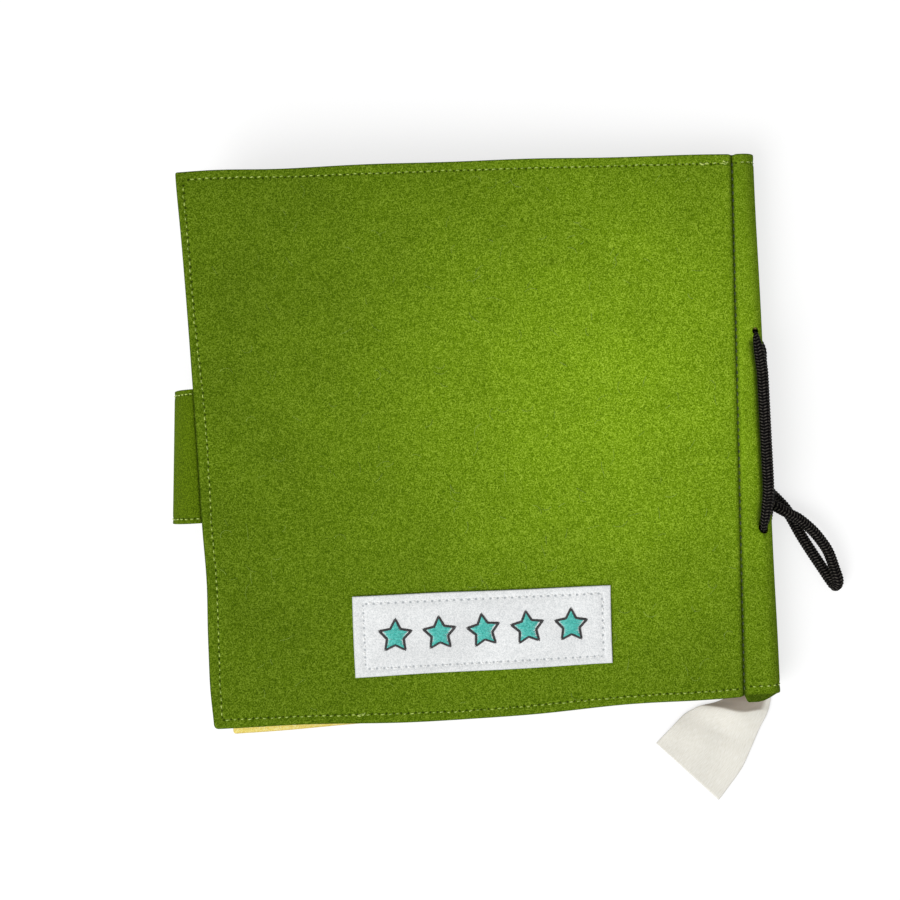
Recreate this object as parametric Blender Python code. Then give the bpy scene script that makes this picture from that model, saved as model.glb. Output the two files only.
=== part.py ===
"""Felt quiet book, closed by its strap and lying on its front cover with the back cover up.

Metres, +Z up. The origin is the middle of the flat strip under the binding, which the book
stands on. The spine edge is at +X, the fore edge at -X and the head of the book at +Y.
"""

import math

import bmesh
import bpy
from mathutils import Matrix, Vector

# The whole book
BOOK_WIDTH = 0.2415
BOOK_HEIGHT = 0.2300
SPINE_X = 0.0090
SPINE_ROUND = 0.0062
LEAF_COUNT = 4

# Felt, and the gaps between pieces that touch
COVER_PLY = 0.0019
LEAF_PLY = 0.0014
SEAT = 0.0003
LEAF_GAP = 0.0005
SOFT_EDGE = 0.0004
CORNER_ROUND = 0.0045

# The stitched grooves that the covers fold at, which run askew to the spine edge
STRIP_AT_HEAD = 0.0098
STRIP_AT_FOOT = 0.0163
GROOVE_HALF = 0.0003
GROOVE_DEPTH = 0.0011
AXIS_LIFT = 0.0003

# The fore edge of the covers, which leans out at the head and is cut short at the foot
FORE_SKEW = 0.0034
FORE_RISE_AT_FOOT = 0.0010

# How the closed book fans out towards its fore edge
FRONT_COVER_SLOPE = math.radians(1.6)
LEAF_SLOPE = math.radians(2.1)
LEAF_SLOPE_STEP = math.radians(0.5)
BACK_COVER_SLOPE = math.radians(5.4)

# Leaves
LEAF_HEIGHT = 0.2250
LEAF_INSET = 0.0040
LEAF_FLEX = 0.0008
MARGIN_CLEAR = 0.00015
TOP_LEAF_TURN = math.radians(1.65)
TOP_LEAF_RISE = 0.0009
TOP_LEAF_INSET = 0.0015

# Lacing cord
CORD_DIAMETER = 0.0048
CORD_SEAT = 0.0004
HOLE_CLEAR = 0.00035
LACING_INSET = 0.0060
CORD_BEND_SHARE = 1.3
CORD_LEAN = math.radians(60)
HOLE_HEAD_Y = 0.0377
HOLE_FOOT_Y = -0.0447
CORD_POINT_STEP = 0.0110
CORD_TURN = math.radians(14)

# The cord's way through the spine's holes: bends away from the hole and along the spine, then
# how high, in bends at the two outer ends and in spine roundings on the way in and out
PASSAGE_LOW_SHARES = (-0.3, 0.3, 0.1)
PASSAGE_IN_SHARES = ((0.55, 0.0, 0.66), (0.2, 0.0, 1.1))
PASSAGE_OUT_SHARES = ((0.14, 0.0, 0.74), (0.25, 0.14, 0.26))
PASSAGE_HIGH_SHARES = (-0.14, 0.5, -0.11)

# The free loop as it lies: from the spine edge, from the middle of the book, and the share of
# a cord's thickness that it is lifted where it crosses its own other strand
LOOP_LINE = (
    (0.0042, -0.0346, 1.0),
    (0.0068, -0.0384, 1.05),
    (0.0110, -0.0417, 1.05),
    (0.0160, -0.0450, 1.0),
    (0.0204, -0.0500, 1.0),
    (0.0238, -0.0560, 1.0),
    (0.0268, -0.0620, 1.0),
    (0.0292, -0.0681, 0.92),
    (0.0296, -0.0710, 0.77),
    (0.0282, -0.0729, 0.45),
    (0.0258, -0.0722, 0.13),
    (0.0240, -0.0697, 0.0),
    (0.0217, -0.0634, 0.0),
    (0.0184, -0.0564, 0.0),
    (0.0152, -0.0505, 0.0),
    (0.0126, -0.0450, 0.0),
    (0.0100, -0.0400, 0.0),
    (0.0067, -0.0350, 0.0),
)

# Knot of the lacing
KNOT_WIDTH = 0.0052
KNOT_LENGTH = 0.0088
KNOT_HEIGHT = 0.0080
KNOT_X_FROM_SPINE = 0.0031
KNOT_Y = -0.0290
KNOT_GROOVE_SHARE = 0.1

# Closing strap
STRAP_WIDTH = 0.0564
STRAP_Y = -0.0011
STRAP_PLY = 0.0012
STRAP_BULGE_AT_HEAD = 0.0105
STRAP_BULGE_AT_FOOT = 0.0153
STRAP_TIP_LENGTH = 0.0400
STRAP_ROUND = 0.0030
STRAP_FOLD_CLEAR = 0.00015
TAPE_THICKNESS = 0.0006
TAPE_MARGIN = 0.0050
LOOP_TAPE_EXTRA = 0.0020

# Name patch on the back cover
PATCH_WIDTH = 0.1082
PATCH_HEIGHT = 0.0337
PATCH_THICKNESS = 0.0010
PATCH_FROM_FORE_EDGE = 0.0609
PATCH_FROM_FOOT = 0.0180
PATCH_TURN = math.radians(-0.45)

# Pocket inside the back cover
POCKET_WIDTH = 0.1300
POCKET_HEIGHT = 0.0700
POCKET_THICKNESS = 0.0012
POCKET_FROM_FORE_EDGE = 0.0300
POCKET_FROM_FOOT = 0.0120

# Clock on the top leaf
CLOCK_FROM_HINGE = 0.1400
CLOCK_Y = 0.0450
DIAL_RADIUS = 0.0460
DIAL_THICKNESS = 0.0008
HAND_THICKNESS = 0.0007
HAND_WIDTH = 0.0070
HOUR_HAND_LENGTH = 0.0240
MINUTE_HAND_LENGTH = 0.0350
HUB_RADIUS = 0.0062
SNAP_PIN_RADIUS = 0.0024
SNAP_HEAD_RADIUS = 0.0048
SNAP_HEAD_THICKNESS = 0.0006
SNAP_CLEAR = 0.0004
HOUR_HAND_TURN = math.radians(-35)
MINUTE_HAND_TURN = math.radians(62)

# Felt pictures on the other pages
PICTURE_THICKNESS = 0.0008
PICTURE_FROM_HINGE = 0.1720
PICTURE_RADIUS = 0.0320
SHAPE_SIZE = 0.0360
SHAPE_PITCH = 0.0560

# Care label
LABEL_REACH = 0.0484
LABEL_THICKNESS = 0.0005
LABEL_FROM_SPINE = 0.0023
LABEL_ROOT_HEIGHT = 0.0024
LABEL_RIPPLE = 0.0011
LABEL_LEFT_SHARES = ((-0.58, 0.0), (-0.64, -0.13), (-0.84, -0.29), (-1.03, -0.44))
LABEL_RIGHT_SHARES = ((0.0, 0.0), (-0.01, -0.23), (-0.16, -0.46), (-0.26, -0.74), (-0.50, -1.01))
LABEL_DROP_SHARE = 0.22

# What follows from the sizes above
COVER_THICKNESS = 2 * COVER_PLY + SEAT
LEAF_THICKNESS = 2 * LEAF_PLY + SEAT
LEAF_PITCH = LEAF_THICKNESS + LEAF_GAP
BOOK_THICKNESS = 2 * COVER_THICKNESS + LEAF_COUNT * LEAF_PITCH + LEAF_GAP
HALF_HEIGHT = BOOK_HEIGHT / 2
FORE_X = SPINE_X - BOOK_WIDTH
CORD_RADIUS = CORD_DIAMETER / 2
GROOVE_SKEW = math.atan2(STRIP_AT_FOOT - STRIP_AT_HEAD, BOOK_HEIGHT)
GROOVE_X = SPINE_X - (STRIP_AT_HEAD + STRIP_AT_FOOT) / 2
COVER_REACH = GROOVE_X - FORE_X
FORE_TURN = math.atan2(FORE_SKEW, BOOK_HEIGHT)
STRAP_THICKNESS = 2 * STRAP_PLY + SEAT

# Felt, cord and trim colours: linear RGB, roughness
GREEN_FELT = ((0.17, 0.28, 0.015), 0.95)
YELLOW_FELT = ((0.87, 0.68, 0.15), 0.95)
LEAF_COLOURS = (
    ((0.62, 0.09, 0.07), 0.95),
    ((0.08, 0.36, 0.62), 0.95),
    ((0.85, 0.30, 0.05), 0.95),
    YELLOW_FELT,
)
WHITE_FELT = ((0.82, 0.83, 0.85), 0.95)
TEAL_FELT = ((0.07, 0.50, 0.44), 0.95)
BLACK_CORD = ((0.012, 0.012, 0.014), 0.7)
LABEL_SATIN = ((0.85, 0.84, 0.80), 0.45)
GREEN_TAPE = ((0.10, 0.17, 0.02), 0.8)
SNAP_PLASTIC = ((0.80, 0.80, 0.78), 0.35)


def groove_x(y):
    """Where the stitched groove runs at height y of the page."""
    return GROOVE_X + math.tan(GROOVE_SKEW) * y


def clear_scene():
    """Removes whatever the file opened with."""
    for thing in list(bpy.data.objects):
        bpy.data.objects.remove(thing, do_unlink=True)


def material(name, finish):
    """A Principled material of a colour and a roughness, made once for each name."""
    found = bpy.data.materials.get(name)
    if found:
        return found
    made = bpy.data.materials.new(name)
    made.use_nodes = True
    colour, roughness = finish
    shader = made.node_tree.nodes["Principled BSDF"]
    shader.inputs["Base Color"].default_value = (*colour, 1.0)
    shader.inputs["Roughness"].default_value = roughness
    return made


def node(name, bm, finish, parent=None):
    """Adds a mesh as one named piece, in its parent's axes."""
    bm.normal_update()
    bmesh.ops.recalc_face_normals(bm, faces=bm.faces)
    mesh = bpy.data.meshes.new(name)
    bm.to_mesh(mesh)
    bm.free()
    mesh.materials.append(material(name, finish))
    piece = bpy.data.objects.new(name, mesh)
    bpy.context.collection.objects.link(piece)
    piece.parent = parent
    return piece


def hinge_empty(name, location, rotation, parent=None):
    """An empty on a joint's axis, which is its own Y; the pieces that turn hang from it."""
    empty = bpy.data.objects.new(name, None)
    empty.rotation_euler = rotation
    empty.location = location
    bpy.context.collection.objects.link(empty)
    if parent:
        bpy.context.view_layer.update()
        empty.parent = parent
        empty.matrix_parent_inverse = parent.matrix_world.inverted()
    return empty


def cut(piece, cutter):
    """Takes a cutter out of a piece and leaves the cutter out of the model."""
    cutter.hide_render = True
    cutter.display_type = "WIRE"
    boolean = piece.modifiers.new(cutter.name, "BOOLEAN")
    boolean.operation = "DIFFERENCE"
    boolean.solver = "EXACT"
    boolean.use_self = True
    boolean.object = cutter


def rounded_outline(corners, radius, steps=4):
    """A polygon's corners, each turned into an arc that starts and ends radius from it."""
    outline = []
    for i, corner in enumerate(corners):
        before = Vector(corners[i - 1])
        after = Vector(corners[(i + 1) % len(corners)])
        here = Vector(corner)
        start = here + (before - here).normalized() * radius
        end = here + (after - here).normalized() * radius
        for step in range(steps + 1):
            t = step / steps
            outline.append((1 - t) ** 2 * start + 2 * t * (1 - t) * here + t * t * end)
    return outline


def extrude_outline(outline, low, high, holes=()):
    """A slab between two levels with the given outline, and round holes where asked."""
    bm = bmesh.new()
    rings = [outline] + [list(hole) for hole in holes]
    edges = []
    for ring in rings:
        points = [bm.verts.new((p[0], p[1], low)) for p in ring]
        edges += [bm.edges.new((points[i - 1], points[i])) for i in range(len(points))]
    if holes:
        bmesh.ops.triangle_fill(bm, use_beauty=True, edges=edges)
    else:
        bmesh.ops.contextual_create(bm, geom=edges)
    lifted = bmesh.ops.extrude_face_region(bm, geom=bm.faces[:])
    top = [item for item in lifted["geom"] if isinstance(item, bmesh.types.BMVert)]
    bmesh.ops.translate(bm, verts=top, vec=(0, 0, high - low))
    return bm


def rim_edges(bm, level):
    """The outer edges of the flat face at one level."""
    found = []
    for edge in bm.edges:
        flat = all(abs(v.co.z - level) < SOFT_EDGE / 4 for v in edge.verts)
        walls = [f for f in edge.link_faces if abs(f.normal.z) < 0.5]
        if flat and walls:
            found.append(edge)
    return found


def felt_slab(outline, low, high, rim=SOFT_EDGE):
    """A ply of felt with its cut edges slightly rounded."""
    bm = extrude_outline(outline, low, high)
    bm.normal_update()
    edges = rim_edges(bm, low) + rim_edges(bm, high)
    bmesh.ops.bevel(bm, geom=edges, offset=rim, segments=1, affect="EDGES", clamp_overlap=True)
    return bm


def soften_groove(bm, level, at_x):
    """Slopes a ply's face down into the groove beside its hinge."""
    edges = []
    for edge in bm.edges:
        on_level = all(abs(v.co.z - level) < SOFT_EDGE / 4 for v in edge.verts)
        on_line = all(abs(v.co.x - at_x) < SOFT_EDGE * 1.5 for v in edge.verts)
        if on_level and on_line and edge.calc_length() > CORNER_ROUND * 4:
            edges.append(edge)
    bmesh.ops.bevel(bm, geom=edges, offset=GROOVE_DEPTH, segments=2, profile=0.6, affect="EDGES")


def page_corners(reach, half_height, turn=0.0, rise=0.0):
    """A page's corners in its hinge's axes, where the hinge line runs askew to the page.

    The spine side follows the hinge line; the other three sides are square to the book, apart
    from a cover's fore edge.
    """
    def local(x, y):
        along = Matrix.Rotation(GROOVE_SKEW, 2) @ Vector((x, y))
        return Vector((along.x, along.y))

    is_cover = reach >= COVER_REACH
    skew = FORE_SKEW / 2 if is_cover else 0.0
    foot_rise = FORE_RISE_AT_FOOT if is_cover else 0.0
    corners = []
    for x, y in ((skew - reach, foot_rise - half_height), (-skew - reach, half_height)):
        turned = Matrix.Rotation(turn, 2) @ Vector((x, y))
        corners.append(local(turned.x, turned.y + rise))
    spine_side = -GROOVE_HALF if is_cover else -LEAF_FLEX
    head_y = local(0, half_height + rise).y
    foot_y = local(0, -half_height + rise).y
    corners.append(Vector((spine_side, head_y)))
    corners.append(Vector((spine_side, foot_y)))
    return corners


def tube(name, points, radius, finish=None):
    """A round cord through the points, with closed ends."""
    curve = bpy.data.curves.new(name, "CURVE")
    curve.dimensions = "3D"
    curve.bevel_depth = radius
    curve.bevel_resolution = 3
    curve.use_fill_caps = True
    spline = curve.splines.new("POLY")
    spline.points.add(len(points) - 1)
    for knot, place in zip(spline.points, points):
        knot.co = (*place, 1.0)
    if finish:
        curve.materials.append(material(name, finish))
    piece = bpy.data.objects.new(name, curve)
    bpy.context.collection.objects.link(piece)
    return piece


def solid_tube(name, points, radius):
    """The same cord as a closed mesh, to cut its way through felt."""
    cord = tube(name + "_line", points, radius)
    bm = bmesh.new()
    bm.from_mesh(bpy.data.meshes.new_from_object(cord))
    bpy.data.objects.remove(cord, do_unlink=True)
    bmesh.ops.remove_doubles(bm, verts=bm.verts, dist=radius / 100)
    return node(name, bm, GREEN_FELT)


def smooth_route(route, step):
    """Points on a smooth curve through the route's own points, closer where it bends."""
    places = [Vector(p) for p in route]
    ends = [2 * places[0] - places[1]] + places + [2 * places[-1] - places[-2]]
    fine = []
    for a, b, c, d in zip(ends, ends[1:], ends[2:], ends[3:]):
        for i in range(24):
            t = i / 24
            fine.append(
                0.5 * (2 * b + (c - a) * t + (2 * a - 5 * b + 4 * c - d) * t**2
                       + (3 * b - a - 3 * c + d) * t**3)
            )
    fine.append(places[-1])
    points = [fine[0]]
    heading = fine[1] - fine[0]
    travelled = 0.0
    for before, here, after in zip(fine, fine[1:], fine[2:]):
        travelled += (here - before).length
        if travelled > step or heading.angle(after - here) > CORD_TURN:
            points.append(here)
            travelled = 0.0
            heading = after - here
    if (points[-1] - fine[-1]).length < CORD_RADIUS / 2:
        points.pop()
    points.append(fine[-1])
    return points


# Binding: the felt spine, the laced margins, the cord and the label


def spine_section(y):
    """The spine felt's outline at one height: round the outside, then back along the inside."""
    open_x = groove_x(y) + GROOVE_HALF
    middle_x = SPINE_X - SPINE_ROUND
    inner_round = SPINE_ROUND - COVER_PLY
    top = BOOK_THICKNESS
    steps = 7
    points = [(open_x, top - GROOVE_DEPTH), (open_x + GROOVE_DEPTH / 2, top - GROOVE_DEPTH / 4)]
    points.append((open_x + GROOVE_DEPTH, top))
    for i in range(steps + 1):
        angle = math.pi / 2 * (1 - i / steps)
        points.append((middle_x + SPINE_ROUND * math.cos(angle),
                       top - SPINE_ROUND + SPINE_ROUND * math.sin(angle)))
    for i in range(steps + 1):
        angle = -math.pi / 2 * i / steps
        points.append((middle_x + SPINE_ROUND * math.cos(angle),
                       SPINE_ROUND + SPINE_ROUND * math.sin(angle)))
    points.append((open_x + GROOVE_DEPTH, 0.0))
    points.append((open_x + GROOVE_DEPTH / 2, GROOVE_DEPTH / 4))
    points.append((open_x, GROOVE_DEPTH))
    points.append((open_x, COVER_PLY))
    for i in range(steps + 1):
        angle = -math.pi / 2 * (1 - i / steps)
        points.append((middle_x + inner_round * math.cos(angle),
                       SPINE_ROUND + inner_round * math.sin(angle)))
    for i in range(steps + 1):
        angle = math.pi / 2 * i / steps
        points.append((middle_x + inner_round * math.cos(angle),
                       top - SPINE_ROUND + inner_round * math.sin(angle)))
    points.append((open_x, top - COVER_PLY))
    return [Vector((x, y, z)) for x, z in points]


def loft(rows):
    """A closed solid through rows of points; each row is a loop of the section."""
    bm = bmesh.new()
    rings = [[bm.verts.new(p) for p in row] for row in rows]
    for near, far in zip(rings, rings[1:]):
        for i in range(len(near)):
            j = (i + 1) % len(near)
            bm.faces.new((near[i], near[j], far[j], far[i]))
    bm.faces.new(rings[0][::-1])
    bm.faces.new(rings[-1])
    return bm


def stack_edge_x(low, high):
    """How far a flat layer between two levels reaches into the rounded spine felt."""
    inner_round = SPINE_ROUND - COVER_PLY
    beyond = max(SPINE_ROUND - low, high - (BOOK_THICKNESS - SPINE_ROUND), 0.0)
    depth = math.sqrt(max(inner_round**2 - beyond**2, 0.0))
    return SPINE_X - SPINE_ROUND + depth - SEAT


def margin_strip(name, low, high, half_height, finish):
    """The laced edge of a leaf or lining, between the groove and the spine felt."""
    end_x = stack_edge_x(low, high)
    outline = [
        Vector((groove_x(-half_height) + MARGIN_CLEAR, -half_height)),
        Vector((end_x, -half_height)),
        Vector((end_x, half_height)),
        Vector((groove_x(half_height) + MARGIN_CLEAR, half_height)),
    ]
    return node(name, extrude_outline(outline, low, high), finish)


def leaf_level(index):
    """The underside of a leaf in the binding; leaf 0 lies next to the front cover."""
    return COVER_THICKNESS + LEAF_GAP + index * LEAF_PITCH


def shoulder_route():
    """The cord's held run: from the knot up to the head hole, over the spine and back down."""
    seat = SPINE_ROUND + CORD_RADIUS + CORD_SEAT
    low_drop = SPINE_ROUND - CORD_RADIUS - SEAT / 2
    low_x = SPINE_X - SPINE_ROUND + math.sqrt(seat**2 - low_drop**2)
    low_z = CORD_RADIUS + SEAT / 2
    high_x = SPINE_X - SPINE_ROUND + seat * math.cos(CORD_LEAN)
    high_z = BOOK_THICKNESS - SPINE_ROUND + seat * math.sin(CORD_LEAN)
    inner_x = SPINE_X - LACING_INSET
    knot_top = KNOT_Y + KNOT_LENGTH / 2 + SEAT
    knot_foot = KNOT_Y - KNOT_LENGTH / 2 - SEAT
    bend = CORD_DIAMETER * CORD_BEND_SHARE

    def passage(hole_y, side):
        """From under the spine to above it, through one pair of holes; side is where it leads."""
        out_y = hole_y + side * bend
        places = [(low_x, out_y + side * bend, low_z), (low_x, out_y, low_z)]
        x, y, z = PASSAGE_LOW_SHARES
        places.append((low_x + x * bend, hole_y + side * y * bend, low_z + z * bend))
        for x, y, z in PASSAGE_IN_SHARES:
            places.append((inner_x + x * bend, hole_y + side * y * bend, z * SPINE_ROUND))
        places.append((inner_x, hole_y, BOOK_THICKNESS / 2))
        for x, y, z in PASSAGE_OUT_SHARES:
            places.append((inner_x + x * bend, hole_y + side * y * bend,
                           BOOK_THICKNESS - z * SPINE_ROUND))
        x, y, z = PASSAGE_HIGH_SHARES
        places.append((high_x + x * bend, hole_y + side * y * bend, high_z + z * bend))
        places += [(high_x, out_y, high_z), (high_x, out_y + side * bend, high_z)]
        return places

    head = passage(HOLE_HEAD_Y, -1)
    foot = passage(HOLE_FOOT_Y, 1)
    middle_y = (HOLE_HEAD_Y + HOLE_FOOT_Y) / 2
    route = [(low_x, knot_top, low_z), (low_x, (knot_top + HOLE_HEAD_Y) / 2, low_z)]
    route += head
    route += [(high_x, middle_y, high_z)]
    route += foot[::-1][:-1]
    route += [(low_x, knot_foot, low_z)]
    return route, head, foot


def loop_route():
    """The free loop: out of the knot, over its own root, round the tip and back to the knot."""
    low = CORD_RADIUS + SEAT / 2
    lift = CORD_DIAMETER + 2 * SEAT
    return [(SPINE_X + x, y, low + raised_share * lift) for x, y, raised_share in LOOP_LINE]


def knot_mesh():
    """The tied end of the lacing: two wraps pulled tight round the strands."""
    bm = bmesh.new()
    bmesh.ops.create_uvsphere(bm, u_segments=14, v_segments=12, radius=0.5)
    for v in bm.verts:
        waist = 1 - KNOT_GROOVE_SHARE * math.cos(6 * math.pi * v.co.z) * (1 - 2 * abs(v.co.z))
        x, y, z = v.co.x * waist, v.co.y * waist, v.co.z
        v.co = (x * KNOT_WIDTH, -z * KNOT_LENGTH, y * KNOT_HEIGHT)
    return bm


def label_mesh():
    """The care label: sewn in at the foot of the spine, then down to and along the table."""
    across, along = 8, 12

    def side(shares, t):
        place = t * (len(shares) - 1)
        i = min(int(place), len(shares) - 2)
        a, b = Vector(shares[i]), Vector(shares[i + 1])
        return a.lerp(b, place - i)

    lower, upper = [], []
    for row in range(along + 1):
        t = row / along
        left, right = side(LABEL_LEFT_SHARES, t), side(LABEL_RIGHT_SHARES, t)
        drop = max(0.0, 1 - t / LABEL_DROP_SHARE)
        height = LABEL_ROOT_HEIGHT * drop**2 * (3 - 2 * drop)
        for column in range(across + 1):
            u = column / across
            place = left.lerp(right, u)
            ripple = LABEL_RIPPLE * (1 - drop) * math.sin(math.pi * u) ** 2 * math.sin(math.pi * t)
            x = SPINE_X - LABEL_FROM_SPINE + place.x * LABEL_REACH
            y = -HALF_HEIGHT - SEAT + place.y * LABEL_REACH
            lower.append(Vector((x, y, height + ripple)))
            upper.append(Vector((x, y, height + ripple + LABEL_THICKNESS)))
    bm = bmesh.new()
    low = [bm.verts.new(p) for p in lower]
    high = [bm.verts.new(p) for p in upper]
    wide = across + 1

    def quads(points, flip):
        for row in range(along):
            for column in range(across):
                i = row * wide + column
                loop = (points[i], points[i + 1], points[i + wide + 1], points[i + wide])
                bm.faces.new(loop[::-1] if flip else loop)

    quads(low, False)
    quads(high, True)
    rim = list(range(across)) + [across + wide * row for row in range(along)]
    rim += [wide * along + across - column for column in range(across)]
    rim += [wide * (along - row) for row in range(along)]
    for a, b in zip(rim, rim[1:] + rim[:1]):
        bm.faces.new((low[a], low[b], high[b], high[a]))
    return bm


def make_binding():
    """Spine felt, laced margins, the cord with its knot and free loop, and the label."""
    rows = [spine_section(-HALF_HEIGHT), spine_section(HALF_HEIGHT)]
    spine = node("spine_felt", loft(rows), GREEN_FELT)
    low = COVER_PLY + SEAT
    high = COVER_THICKNESS
    strips = [
        margin_strip("front_lining_margin", low, high, HALF_HEIGHT, GREEN_FELT),
        margin_strip("back_lining_margin", BOOK_THICKNESS - high, BOOK_THICKNESS - low,
                     HALF_HEIGHT, GREEN_FELT),
    ]
    for index in range(LEAF_COUNT):
        level = leaf_level(index)
        strips.append(margin_strip(f"leaf_{index + 1}_margin", level, level + LEAF_THICKNESS,
                                   LEAF_HEIGHT / 2, LEAF_COLOURS[index]))
    route, head, foot = shoulder_route()
    hole_radius = CORD_RADIUS + HOLE_CLEAR
    for name, passage in (("head_hole", head), ("foot_hole", foot)):
        cutter = solid_tube(name, smooth_route(passage, CORD_POINT_STEP), hole_radius)
        for piece in [spine] + strips:
            cut(piece, cutter)
    tube("lacing_cord", smooth_route(route, CORD_POINT_STEP), CORD_RADIUS, BLACK_CORD)
    tube("cord_loop", smooth_route(loop_route(), CORD_POINT_STEP), CORD_RADIUS, BLACK_CORD)
    knot = node("lacing_knot", knot_mesh(), BLACK_CORD)
    knot.location = (SPINE_X + KNOT_X_FROM_SPINE, KNOT_Y, KNOT_HEIGHT / 2 + SEAT / 2)
    node("care_label", label_mesh(), LABEL_SATIN)


# Covers


def cover_outline():
    """A cover ply's outline in its hinge's axes, with its fore corners rounded."""
    corners = page_corners(COVER_REACH, HALF_HEIGHT)
    outline = rounded_outline(corners, CORNER_ROUND)
    per_corner = len(outline) // len(corners)
    return outline[: 2 * per_corner] + [corners[2], corners[3]]


def rectangle(from_x, to_x, from_y, to_y, turn=0.0):
    """Four corners of a patch that is square to the book, in a cover's hinge axes."""
    middle = Vector(((from_x + to_x) / 2, (from_y + to_y) / 2))
    places = ((from_x, from_y), (to_x, from_y), (to_x, to_y), (from_x, to_y))
    turned = [middle + Matrix.Rotation(turn, 2) @ (Vector(place) - middle) for place in places]
    return [Matrix.Rotation(GROOVE_SKEW, 2) @ place for place in turned]


def make_back_cover():
    """The upper cover with its patch and, inside, its pocket. Returns the hinge's empty."""
    hinge = hinge_empty(
        "back_cover_hinge",
        (GROOVE_X, 0, BOOK_THICKNESS + AXIS_LIFT),
        (0, BACK_COVER_SLOPE, -GROOVE_SKEW),
    )
    face = -AXIS_LIFT
    felt = felt_slab(cover_outline(), face - COVER_PLY, face)
    soften_groove(felt, face, -GROOVE_HALF - SOFT_EDGE)
    node("back_cover_felt", felt, GREEN_FELT, hinge)
    inside = face - COVER_THICKNESS
    node("back_cover_lining", felt_slab(cover_outline(), inside, inside + COVER_PLY),
         GREEN_FELT, hinge)
    fore = -COVER_REACH
    patch = rectangle(fore + PATCH_FROM_FORE_EDGE, fore + PATCH_FROM_FORE_EDGE + PATCH_WIDTH,
                      -HALF_HEIGHT + PATCH_FROM_FOOT, -HALF_HEIGHT + PATCH_FROM_FOOT + PATCH_HEIGHT,
                      PATCH_TURN)
    node("name_patch", felt_slab(patch, face + SEAT, face + SEAT + PATCH_THICKNESS, SOFT_EDGE / 2),
         WHITE_FELT, hinge)
    pocket = rectangle(fore + POCKET_FROM_FORE_EDGE, fore + POCKET_FROM_FORE_EDGE + POCKET_WIDTH,
                       -HALF_HEIGHT + POCKET_FROM_FOOT,
                       -HALF_HEIGHT + POCKET_FROM_FOOT + POCKET_HEIGHT)
    pocket = rounded_outline(pocket, CORNER_ROUND)
    node("lining_pocket", felt_slab(pocket, inside - SEAT - POCKET_THICKNESS, inside - SEAT),
         TEAL_FELT, hinge)
    return hinge


def shape_outline(kind):
    """A circle, square or triangle of the same size round the middle."""
    half = SHAPE_SIZE / 2
    if kind == "circle":
        return [Vector((half * math.cos(a), half * math.sin(a)))
                for a in (2 * math.pi * i / 24 for i in range(24))]
    sides = 4 if kind == "square" else 3
    start = math.pi / 4 if kind == "square" else math.pi / 2
    reach = half * (math.sqrt(2) if kind == "square" else 1.2)
    corners = [Vector((reach * math.cos(start + a), reach * math.sin(start + a)))
               for a in (2 * math.pi * i / sides for i in range(sides))]
    return rounded_outline(corners, SHAPE_SIZE / 9, 2)


def make_front_cover():
    """The lower cover, with the loop tape for the strap outside and three shapes inside."""
    hinge = hinge_empty(
        "front_cover_hinge",
        (GROOVE_X, 0, -AXIS_LIFT),
        (0, FRONT_COVER_SLOPE, -GROOVE_SKEW),
    )
    face = AXIS_LIFT
    felt = felt_slab(cover_outline(), face, face + COVER_PLY)
    soften_groove(felt, face, -GROOVE_HALF - SOFT_EDGE)
    node("front_cover_felt", felt, GREEN_FELT, hinge)
    inside = face + COVER_THICKNESS
    node("front_cover_lining", felt_slab(cover_outline(), inside - COVER_PLY, inside),
         GREEN_FELT, hinge)
    half = STRAP_WIDTH / 2 - TAPE_MARGIN + LOOP_TAPE_EXTRA
    tape = rectangle(-COVER_REACH + TAPE_MARGIN, -COVER_REACH + STRAP_TIP_LENGTH,
                     STRAP_Y - half, STRAP_Y + half)
    node("loop_tape", felt_slab(tape, face - SEAT - TAPE_THICKNESS, face - SEAT, SOFT_EDGE / 4),
         GREEN_TAPE, hinge)
    finishes = (LEAF_COLOURS[0], LEAF_COLOURS[1], LEAF_COLOURS[2])
    for place, kind, finish in zip((1, 0, -1), ("circle", "square", "triangle"), finishes):
        outline = [p + Vector((-PICTURE_FROM_HINGE, place * SHAPE_PITCH))
                   for p in shape_outline(kind)]
        node(f"shape_{kind}",
             felt_slab(outline, inside + SEAT, inside + SEAT + PICTURE_THICKNESS, SOFT_EDGE / 2),
             finish, hinge)


# Strap


def strap_rows(head_bulge, foot_bulge, top, from_depth, to_depth):
    """Sections of one ply of the strap's round part, from its head side to its foot side.

    top is the middle line's height where the strap leaves the cover; depths run from the
    strap's outer face inwards.
    """
    bottom = STRAP_THICKNESS / 2
    steps = 18
    rows = []
    for side in range(5):
        share = side / 4
        bulge = head_bulge + (foot_bulge - head_bulge) * share - STRAP_THICKNESS / 2
        y = STRAP_WIDTH / 2 - STRAP_WIDTH * share
        middle, normals = [], []
        for i in range(steps + 1):
            angle = math.pi * i / steps
            middle.append(Vector((-bulge * math.sin(angle), (top - bottom) / 2 * math.cos(angle))))
            normal = Vector((-math.sin(angle) / bulge, math.cos(angle) * 2 / (top - bottom)))
            normals.append(normal.normalized())
        outer = [p + n * (STRAP_THICKNESS / 2 - from_depth) for p, n in zip(middle, normals)]
        inner = [p + n * (STRAP_THICKNESS / 2 - to_depth) for p, n in zip(middle, normals)]
        rows.append([Vector((p.x - STRAP_FOLD_CLEAR, y, p.y)) for p in outer + inner[::-1]])
    return rows


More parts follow.
